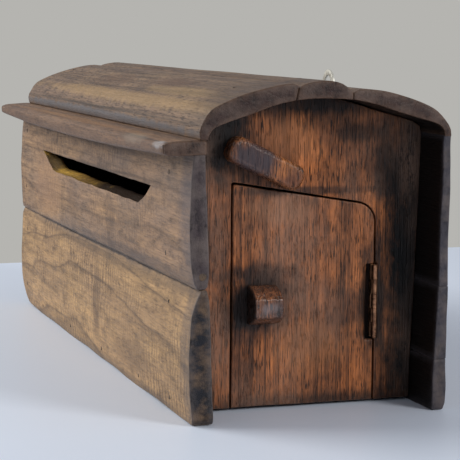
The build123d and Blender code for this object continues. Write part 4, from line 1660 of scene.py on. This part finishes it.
@dataclass
class TurnLatch:
    """The wooden turn button that holds the door shut, worn round by hands."""

    length: float = 56.0
    width: float = 18.0
    thickness: float = 13.5
    pivot_inset: float = 9.0
    pivot: Point = (-47.6, 174.7)
    rest_angle: float = 64.0
    stand_off: float = 0.5

    def build(self) -> None:
        """Make the latch in its rest position and hand it over."""
        mesh = bmesh.new()
        bmesh.ops.create_cube(mesh, size=1.0)
        for vertex in mesh.verts:
            a = (vertex.co.x + 0.5) * self.length
            b = vertex.co.y * self.width
            c = (vertex.co.z + 0.5) * self.thickness
            vertex.co = Vector((a, b, c))
        corners = [e for e in mesh.edges if abs(e.verts[0].co.z - e.verts[1].co.z) > 1]
        round_off(mesh, corners, 7.0, 7)
        front = [e for e in mesh.edges if all(v.co.z > self.thickness - 0.01 for v in e.verts)]
        round_off(mesh, front, 3.8, 6, clamp=True)
        back = [e for e in mesh.edges if all(v.co.z < 0.01 for v in e.verts)]
        round_off(mesh, back, 1.0, 2)
        refine(mesh, 2.2)
        turn = math.radians(self.rest_angle)
        along = Vector((0, math.sin(turn), -math.cos(turn)))
        aside = Vector((0, math.cos(turn), math.sin(turn)))
        for vertex in mesh.verts:
            a, b, c = vertex.co
            waist = 1 - 0.035 * math.sin(math.pi * min(1.0, a / self.length)) + 0.05 * (0.5 - a / self.length)
            crown = 0.9 * (1 - (2 * a / self.length - 1) ** 2) - 0.9
            c += crown * smooth(0.3 * self.thickness, self.thickness, c)
            b *= waist
            b += 0.35 * wander(a * 0.09, c * 0.1, 0, 31.0)
            c += 0.3 * wander(a * 0.1, b * 0.12, 5, 32.0) * smooth(1, 6, c)
            flat = along * (a - self.pivot_inset) + aside * b
            vertex.co = spot(PANEL_FRONT_X / MM + self.stand_off + c, self.pivot[0] + flat.y, self.pivot[1] + flat.z)
        piece = mesh_piece("latch_timber", mesh, self.finish().material())
        dress_zones(piece, 30)
        hand_over(piece, LATCH_BODY, "handled_wood", "turn_latch")

    def finish(self) -> WoodFinish:
        """Make the latch's timber: dark blue-grey at the pivot, both grease and a painted sheen, rubbed orange at the
        tip.

        Returns:
            The finish.
        """
        turn = math.radians(self.rest_angle)
        pivot_u, pivot_z = self.pivot
        # Blue-grey over the pivot end: grease and a painted sheen.
        stain = StainOrPaintedLight((236, pivot_u + 8 * math.sin(turn), pivot_z - 8 * math.cos(turn)), (40, 19, 17),
                      rgb(58, 52, 58), 0.9)
        return replace(HANDLED, name="latch_timber", seed=5.2, edge_wear_and_sheen=0.12, stains=(stain,))


# ------------------------------------------------------------------------------------ the irons


@dataclass(frozen=True)
class Fastener:
    """The sizes of a nail or a screw, in millimetres: its head, its shank and its driving slot."""

    head_radius: float
    head_height: float
    shank_radius: float
    shank_length: float
    slot_width: float = 0.0
    narrowness: float = 1.0
    twist: float = 0.1


CUT_BRAD = Fastener(2.0, 0.8, 0.7, 20.0, narrowness=0.4, twist=0.25)
LEAF_SCREW = Fastener(2.1, 1.0, 1.0, 10.5, slot_width=0.5, twist=3.0)
KNOB_SCREW = Fastener(3.3, 2.0, 1.5, 30.0, slot_width=0.7, twist=3.0)
LATCH_SCREW = Fastener(3.9, 2.4, 1.9, 30.0, slot_width=0.8, twist=3.0)
HANGER_SCREW = Fastener(2.8, 1.1, 1.2, 2.6, slot_width=0.6, twist=3.0)


class FastenerTree:
    """A Geometry Nodes tree that drives one fastener at every point of a mesh, along its own direction."""

    SIZES = ("Head radius", "Head height", "Shank radius", "Shank length", "Slot width", "Narrowness", "Twist")
    FACETS = 16
    SEED = 11

    def __init__(self, name: str) -> None:
        """Build the tree.

        Args:
            name: the tree's name.
        """
        self.tree = bpy.data.node_groups.new(name, "GeometryNodeTree")
        self.identifiers: dict[str, str] = {}
        kinds = {"Geometry": "Geometry", **{size: "Float" for size in self.SIZES}, "Material": "Material"}
        for label, kind in kinds.items():
            socket = self.tree.interface.new_socket(name=label, in_out="INPUT", socket_type=f"NodeSocket{kind}")
            self.identifiers[label] = socket.identifier
        self.tree.interface.new_socket(name="Geometry", in_out="OUTPUT", socket_type="NodeSocketGeometry")
        self.size = self.node("NodeGroupInput").outputs
        self.wire()

    def node(self, kind: str, inputs: dict[str | int, object] | None = None, **settings: object) -> bpy.types.Node:
        """Add a node.

        Args:
            kind: its type.
            inputs: for its inputs, by name or number, the socket each one follows or its value.
            settings: its options.

        Returns:
            The node.
        """
        node = self.tree.nodes.new(kind)
        for key, value in settings.items():
            setattr(node, key, value)
        for key, value in (inputs or {}).items():
            if isinstance(value, Socket):
                self.tree.links.new(value, node.inputs[key])
            else:
                node.inputs[key].default_value = value
        return node

    def scaled(self, first: Socket, factor: float, extra: Socket | float = 0.0) -> Socket:
        """Multiply a size by a number and add to it.

        Args:
            first: the size.
            factor: the number.
            extra: what is added.

        Returns:
            The result.
        """
        return self.node("ShaderNodeMath", {0: first, 1: factor, 2: extra}, operation="MULTIPLY_ADD").outputs[0]

    def vector(self, **parts: Socket | float) -> Socket:
        """Make a vector of its X, Y and Z."""
        return self.node("ShaderNodeCombineXYZ", parts).outputs[0]

    def turned(self, top: Socket, foot: Socket, height: Socket, lift: Socket) -> Socket:
        """Turn a part with a straight taper.

        Args:
            top: the radius of its top.
            foot: the radius of its foot.
            height: its height.
            lift: how far its foot is up the axis.

        Returns:
            The part.
        """
        sizes = {"Vertices": self.FACETS, "Radius Top": top, "Radius Bottom": foot, "Depth": height}
        cone = self.node("GeometryNodeMeshCone", sizes).outputs["Mesh"]
        return self.node("GeometryNodeTransform", {"Geometry": cone, "Translation": self.vector(Z=lift)}).outputs[0]

    def slotted(self, head: Socket) -> Socket:
        """Cut the driving slot across a head, if there is one.

        Args:
            head: the head.

        Returns:
            The head with its slot.
        """
        size = self.size
        bar_size = self.vector(X=self.scaled(size["Head radius"], 3.0), Y=size["Slot width"], Z=size["Head height"])
        bar = self.node("GeometryNodeMeshCube", {"Size": bar_size}).outputs["Mesh"]
        cut = self.node("GeometryNodeMeshBoolean", {"Mesh 1": head, "Mesh 2": bar}, operation="DIFFERENCE",
                        solver="EXACT")
        has_slot = self.node("FunctionNodeCompare", {"A": size["Slot width"]}, operation="GREATER_THAN")
        choices = {"Switch": has_slot.outputs[0], "False": head, "True": cut.outputs[0]}
        return self.node("GeometryNodeSwitch", choices, input_type="GEOMETRY").outputs[0]

    def direction(self) -> Socket:
        """Face the way each one is driven, turned by chance round its own axis.

        Returns:
            The rotation.
        """
        drive = self.node("GeometryNodeInputNamedAttribute", {"Name": "drive"}, data_type="FLOAT_VECTOR")
        align = self.node("FunctionNodeAlignRotationToVector", {"Vector": drive.outputs["Attribute"]}, axis="Z")
        chance = self.node("FunctionNodeRandomValue", {"Seed": self.SEED}, data_type="FLOAT")
        low, high = [socket for socket in chance.inputs if socket.type == "VALUE" and socket.name in ("Min", "Max")]
        self.tree.links.new(self.scaled(self.size["Twist"], -1.0), low)
        self.tree.links.new(self.size["Twist"], high)
        amount = next(socket for socket in chance.outputs if socket.type == "VALUE")
        twist = self.node("FunctionNodeAxisAngleToRotation", {"Axis": (0, 0, 1), "Angle": amount})
        turns = {0: align.outputs[0], 1: twist.outputs[0]}
        return self.node("FunctionNodeRotateRotation", turns, rotation_space="LOCAL").outputs[0]

    def wire(self) -> None:
        """Join the nodes: head and shank, the driving slot, then one at each point."""
        size = self.size
        head = self.turned(self.scaled(size["Head radius"], 0.86), size["Head radius"], size["Head height"],
                           self.scaled(size["Head height"], -1.0))
        sunk = self.scaled(size["Head height"], -0.6, self.scaled(size["Shank length"], -1.0))
        shank = self.turned(size["Shank radius"], self.scaled(size["Shank radius"], 0.7), size["Shank length"], sunk)
        joined = self.node("GeometryNodeJoinGeometry")
        for part in (self.slotted(head), shank):
            self.tree.links.new(part, joined.inputs[0])
        narrowed = self.node("GeometryNodeTransform", {
            "Geometry": joined.outputs[0], "Scale": self.vector(X=size["Narrowness"], Y=1.0, Z=1.0),
        })
        each = self.node("GeometryNodeInstanceOnPoints", {
            "Points": size["Geometry"], "Instance": narrowed.outputs[0], "Rotation": self.direction(),
        })
        real = self.node("GeometryNodeRealizeInstances", {0: each.outputs[0]})
        dressed = self.node("GeometryNodeSetMaterial", {"Geometry": real.outputs[0], "Material": size["Material"]})
        self.node("NodeGroupOutput", {0: dressed.outputs[0]})


@dataclass
class Fasteners:
    """Every nail and screw of the mailbox, driven where the solid model has them."""

    tree: FastenerTree
    proud: float = 0.12
    end_xs: Point = (215.5, -242.0)
    floor_xs: tuple[float, ...] = (-180.0, -75.0, 30.0, 137.0)

    def drive(self, name: str, sizes: Fastener, places: Sequence[tuple[Vector, Vector]],
              finish: MetalFinish, body: str, slot: str, node: str) -> None:
        """Drive one kind of fastener at its places.

        Args:
            name: the piece's name.
            sizes: the fastener's sizes.
            places: for each, where the middle of its head's face is and which way the head faces.
            finish: its metal.
            body: the body it rides on.
            slot: its material slot.
            node: the node it stands for.
        """
        material = finish.material()
        piece = new_piece(name, [place for place, _ in places], [], material)
        drive = piece.data.attributes.new("drive", "FLOAT_VECTOR", "POINT")
        drive.data.foreach_set("vector", [value for _, way in places for value in way])
        modifier = piece.modifiers.new("fasteners", "NODES")
        modifier.node_group = self.tree.tree
        values = (sizes.head_radius * MM, sizes.head_height * MM, sizes.shank_radius * MM, sizes.shank_length * MM,
                  sizes.slot_width * MM, sizes.narrowness, sizes.twist)
        for size, value in zip(self.tree.SIZES, values):
            modifier[self.tree.identifiers[size]] = value
        modifier[self.tree.identifiers["Material"]] = material
        settle(piece)
        piece.data.materials.clear()
        piece.data.materials.append(material)
        piece.data.polygons.foreach_set("material_index", [0] * len(piece.data.polygons))
        hand_over(piece, body, slot, node)

    def on_face(self, board: str, start: Vector, way: Vector) -> tuple[Vector, Vector]:
        """Find a board's real surface and put a nail head there.

        Args:
            board: the piece's name.
            start: a point outside the board.
            way: the direction inwards.

        Returns:
            The head's place and the way it faces.
        """
        hit, _, _, _ = SURFACES[board].ray_cast(start, way)
        if hit is None:
            raise ValueError(f"no surface of {board} under {tuple(start)}")
        return hit - way * (self.proud * MM), -way

    def drive_brads(self, name: str, places: Sequence[tuple[Vector, Vector]]) -> None:
        """Drive one group of the case's cut brads."""
        self.drive(f"{name}_heads", CUT_BRAD, places, OLD_IRON, CASE_BODY, "nail_iron", f"{name}s")

    def build(self) -> None:
        """Drive them all."""
        inwards = Vector((0, 1, 0))
        outwards = Vector((0, -1, 0))
        down = Vector((0, 0, -1))
        lower = [(216.0, 10.0), (210.0, 73.0), (-242.0, 20.0), (-242.0, 70.0)] + [(x, 9.0) for x in self.floor_xs]
        upper = [(207.0, 106.0), (212.0, 160.0), (-242.0, 110.0), (-242.0, 160.0)]
        slot_side = [("slot_wall_lower_board_timber", x, z) for x, z in lower]
        slot_side += [("slot_wall_upper_board_timber", x, z) for x, z in upper]
        places = [self.on_face(board, Vector((x * MM, -0.15, z * MM)), inwards) for board, x, z in slot_side]
        self.drive_brads("slot_wall_brad", places)
        rows = [(x, z) for x in self.end_xs for z in (20.0, 62.0, 105.0, 160.0)] + [(x, 9.0) for x in self.floor_xs]
        places = []
        for x, z in rows:
            board = "lower" if z < 35 else "middle" if z < 85 else "upper"
            start = Vector((x * MM, 0.15, z * MM))
            places.append(self.on_face(f"wall_side_{board}_board_timber", start, outwards))
        self.drive_brads("wall_side_brad", places)
        staves = (("roof_slot_side_stave_timber", -45.0), ("roof_ridge_stave_timber", 0.0),
                  ("roof_wall_side_stave_timber", 52.0))
        places = [self.on_face(stave, Vector((x * MM, CASE_MIDDLE + u * MM, 0.3)), down)
                  for stave, u in staves for x in self.end_xs]
        self.drive_brads("roof_brad", places)
        cleat = [(Vector((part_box("cleat_brads")[0][0], CASE_MIDDLE - 60 * MM, z * MM)), Vector((-1, 0, 0)))
                 for z in (40.0, 120.0)]
        self.drive_brads("cleat_brad", cleat)
        self.build_screws()

    def build_screws(self) -> None:
        """Drive the screws of the hinge, the knob, the latch and the hanger."""
        zs = (55.5, 70.25, 85.0)
        frame_leaf = [(spot(218, 53.15, z), Vector((0, -1, 0))) for z in zs]
        door_leaf = [(spot(218, 51.65, z), Vector((0, 1, 0))) for z in zs]
        self.drive("frame_leaf_screws", LEAF_SCREW, frame_leaf, SCREW_BRASS, CASE_BODY, "screw_brass",
                   "hinge_frame_screws")
        self.drive("door_leaf_screws", LEAF_SCREW, door_leaf, SCREW_BRASS, DOOR_BODY, "screw_brass",
                   "hinge_door_screws")
        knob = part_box("knob_fixing_screw")
        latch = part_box("latch_pivot_screw")
        for name, box, sizes, body, node in (
            ("knob_screw", knob, KNOB_SCREW, DOOR_BODY, "knob_fixing_screw"),
            ("latch_screw", latch, LATCH_SCREW, CASE_BODY, "latch_pivot_screw"),
        ):
            middle = [(a + b) / 2 for a, b in zip(*box)]
            head = Vector((box[0][0], middle[1], middle[2]))
            self.drive(name, sizes, [(head, Vector((-1, 0, 0)))], SCREW_BRASS, body, "screw_brass", node)
        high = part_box("hanger_screws")[1]
        places = [(Vector((41.5 * MM, high[1], z * MM)), Vector((0, 1, 0))) for z in (116.0, 140.0, 164.0)]
        self.drive("hanger_screw_heads", HANGER_SCREW, places, ZINC, CASE_BODY, "zinc_plate", "hanger_screws")


def lathe(mesh: WorkMesh, axis: Point, profile: Sequence[Point], steps: int = 24) -> None:
    """Turn a closed profile round an upright axis.

    Args:
        mesh: the mesh it is added to.
        axis: x and u of the axis, in millimetres.
        profile: (radius, z) points of a ring, or a line that starts and ends on the axis.
        steps: how many facets round.
    """
    rings = []
    for radius, z in profile:
        if radius == 0:
            rings.append([mesh.verts.new(spot(*axis, z))])
            continue
        ring = []
        for i in range(steps):
            angle = 2 * math.pi * i / steps
            ring.append(mesh.verts.new(spot(axis[0] + radius * math.cos(angle), axis[1] + radius * math.sin(angle), z)))
        rings.append(ring)
    pairs = list(zip(rings, rings[1:]))
    if len(rings[0]) > 1:
        pairs.append((rings[-1], rings[0]))
    for low, high in pairs:
        for i in range(steps):
            j = (i + 1) % steps
            corners = [low[i % len(low)], low[j % len(low)], high[j % len(high)], high[i % len(high)]]
            unique = list(dict.fromkeys(corners))
            if len(unique) > 2:
                mesh.faces.new(unique)


def add_box(mesh: WorkMesh, low: Corner, high: Corner, bevel: float) -> None:
    """Add a bevelled block.

    Args:
        mesh: the mesh it is added to.
        low: its low (x, u, z) corner, in millimetres.
        high: its high corner.
        bevel: the size of its bevels.
    """
    made = bmesh.ops.create_cube(mesh, size=1.0)["verts"]
    for vertex in made:
        share = vertex.co + Vector((0.5, 0.5, 0.5))
        vertex.co = spot(*(a + (b - a) * t for a, b, t in zip(low, high, share)))
    round_off(mesh, list(dict.fromkeys(e for v in made for e in v.link_edges)), bevel * MM, 2)


@dataclass
class Hinge:
    """A five-knuckle butt hinge between the panel and the door."""

    low: float = 45.5
    knuckle: float = 9.9
    play: float = 0.08
    axis: Point = (228.0, 52.4)
    barrel: float = 1.7
    bore: float = 1.0

    def leaf(self, name: str, u: float, levels: Sequence[int], body: str, node: str) -> None:
        """Make one leaf: its plate, and its rolled knuckles.

        Args:
            name: the piece's name.
            u: the low side of the plate across the case.
            levels: which knuckles belong to it.
            body: the body it rides on.
            node: the node it stands for.
        """
        mesh = bmesh.new()
        add_box(mesh, (212.0, u, self.low), (224.9, u + 1.2, self.low + 5 * self.knuckle), 0.25)
        for level in levels:
            z0 = self.low + level * self.knuckle + self.play
            z1 = z0 + self.knuckle - 2 * self.play
            r, r0 = self.barrel, self.bore
            lathe(mesh, self.axis, [(r0, z0), (r - 0.15, z0), (r, z0 + 0.15), (r, z1 - 0.15), (r - 0.15, z1), (r0, z1)])
            add_box(mesh, (223.5, u, z0 + 0.1), (227.2, u + 1.2, z1 - 0.1), 0.2)
        hand_over(mesh_piece(name, mesh, HINGE_STEEL.material(), 40), body, "hinge_steel", node)

    def build(self) -> None:
        """Make both leaves and the pin."""
        self.leaf("frame_leaf_iron", 53.1, (0, 2, 4), CASE_BODY, "hinge_frame_leaf")
        self.leaf("door_leaf_iron", 50.5, (1, 3), DOOR_BODY, "hinge_door_leaf")
        mesh = bmesh.new()
        z0, z1 = self.low - 0.7, self.low + 5 * self.knuckle + 0.7
        lathe(mesh, self.axis, [(0, z0), (1.3, z0), (1.65, z0 + 0.3), (1.6, z0 + 0.7), (0.95, z0 + 0.7),
                                (0.95, z1 - 0.7), (1.6, z1 - 0.7), (1.65, z1 - 0.3), (1.3, z1), (0, z1)])
        piece = mesh_piece("hinge_pin_iron", mesh, HINGE_STEEL.material(), 40)
        hand_over(piece, CASE_BODY, "hinge_steel", "hinge_pin")


@dataclass
class Hanger:
    """The zinc plate on the wall side, with the round eye that hangs on a hook."""

    x: float = 41.5
    width: float = 22.0
    low: float = 108.0
    eye_z: float = 212.0
    eye: float = 6.5

    def build(self) -> None:
        """Stamp the plate out and hand it over."""
        half = self.width / 2
        outline = [(self.x - half + 1.5, self.low), (self.x + half - 1.5, self.low), (self.x + half, self.low + 1.5)]
        for i in range(25):
            angle = math.pi * i / 24
            outline.append((self.x + half * math.cos(angle), self.eye_z + half * math.sin(angle)))
        outline.append((self.x - half, self.low + 1.5))
        angles = [2 * math.pi * i / 32 for i in range(32)]
        hole = [(self.x + self.eye * math.cos(angle), self.eye_z + self.eye * math.sin(angle)) for angle in angles]

        def place(x: float, z: float, depth: float) -> Vector:
            """A point of the plate at a depth from the wall side face."""
            return spot(x, HALF_WIDTH + depth, z)

        material = ZINC.material()
        plate = prism("hanger_plate_zinc", outline, place, [0.02, 1.95], material)
        cut_away(plate, prism("eye_cutter", hole, place, [-1.0, 3.0], material))
        mesh = bmesh.new()
        mesh.from_mesh(plate.data)
        rims = [e for e in mesh.edges if e.calc_face_angle(0.0) > math.radians(60)]
        round_off(mesh, rims, 0.35 * MM, 2, clamp=True)
        mesh.to_mesh(plate.data)
        mesh.free()
        plate.data.set_sharp_from_angle(angle=math.radians(35))
        hand_over(plate, CASE_BODY, "zinc_plate", "hanger_plate")


# ------------------------------------------------------------------------------------ the studio


@dataclass
class Studio:
    """A pale table under soft daylight, and the camera near the door end."""

    camera_place: Corner = (1.2836, -0.3982, 0.2557)
    azimuth: float = 71.412
    elevation: float = 6.827
    roll: float = 0.4725
    lens: float = 133.0
    ambient: float = 0.62
    table: tuple[Corner, ...] = ((-0.53, -1.6, 0.0), (2.4, -1.6, 0.0), (2.4, 1.9, 0.0), (-0.5, 1.9, 0.0))

    def build(self) -> None:
        """Set up the camera, the table, the sky and the lamps."""
        self.build_camera()
        self.build_table()
        self.build_light()

    def build_camera(self) -> None:
        """Stand the camera with its small roll."""
        az, el, roll = (math.radians(v) for v in (self.azimuth, self.elevation, self.roll))
        back = Vector((math.sin(az) * math.cos(el), -math.cos(az) * math.cos(el), math.sin(el)))
        right = Vector((0, 0, 1)).cross(back).normalized()
        up = back.cross(right)
        right, up = right * math.cos(roll) + up * math.sin(roll), up * math.cos(roll) - right * math.sin(roll)
        data = bpy.data.cameras.new("view")
        data.lens = self.lens
        data.sensor_width = 36.0
        camera = bpy.data.objects.new("view", data)
        matrix = Matrix((right, up, back)).transposed().to_4x4()
        matrix.translation = self.camera_place
        camera.matrix_world = matrix
        bpy.context.scene.collection.objects.link(camera)
        bpy.context.scene.camera = camera

    def build_table(self) -> None:
        """Lay the table, its far edge behind the far end of the case."""
        material = bpy.data.materials.new("table_paint")
        material.use_nodes = True
        shader = material.node_tree.nodes["Principled BSDF"]
        shader.inputs["Base Color"].default_value = (*rgb(222, 232, 247), 1.0)
        shader.inputs["Roughness"].default_value = 0.42
        new_piece("table", [Vector(corner) for corner in self.table], [(0, 1, 2, 3)], material)

    def build_light(self) -> None:
        """Fill the room with soft light, and add a window on the near side."""
        world = bpy.data.worlds.new("room")
        world.use_nodes = True
        nodes, links = world.node_tree.nodes, world.node_tree.links
        sky = nodes["Background"]
        seen = nodes.new("ShaderNodeLightPath").outputs["Is Camera Ray"]
        colour = nodes.new("ShaderNodeMix")
        colour.data_type = "RGBA"
        links.new(seen, colour.inputs["Factor"])
        colour.inputs[6].default_value = (*(v * self.ambient for v in rgb(188, 190, 196)), 1.0)
        colour.inputs[7].default_value = (*rgb(181, 180, 176), 1.0)
        links.new(colour.outputs[2], sky.inputs["Color"])
        bpy.context.scene.world = world
        bpy.context.scene.view_settings.view_transform = "Standard"
        self.lamp("window", (-1.15, -1.85, 1.6), (-0.2, 0, 0.1), 1.8, 62.0, (1.0, 0.98, 0.95))
        self.lamp("door_light", (1.9, 1.3, 1.0), (0.25, 0, 0.1), 0.7, 27.0, (1.0, 0.98, 0.96))

    def lamp(self, name: str, place: Sequence[float], aim: Sequence[float], size: float, power: float,
             colour: Colour) -> None:
        """Hang one square soft lamp.

        Args:
            name: the lamp's name.
            place: where it hangs, in metres.
            aim: the point that it faces.
            size: its side, in metres.
            power: its power, in watts.
            colour: its colour.
        """
        data = bpy.data.lights.new(name, "AREA")
        data.size = size
        data.energy = power
        data.color = colour
        lamp = bpy.data.objects.new(name, data)
        lamp.location = place
        lamp.rotation_euler = (Vector(place) - Vector(aim)).to_track_quat("Z", "Y").to_euler()
        bpy.context.scene.collection.objects.link(lamp)


def main() -> None:
    """Build the studio, then the mailbox, sub-assembly by sub-assembly."""
    Studio().build()
    for part in (SlotWall(), RainLedge(), BarrelRoof(), WallSide(), Inside(), EndPanel(), Door(), TurnLatch(), Hinge(),
                 Hanger(), Fasteners(FastenerTree("fasteners"))):
        LOG.info("building %s", type(part).__name__)
        part.build()


if __name__ == "__main__":
    main()
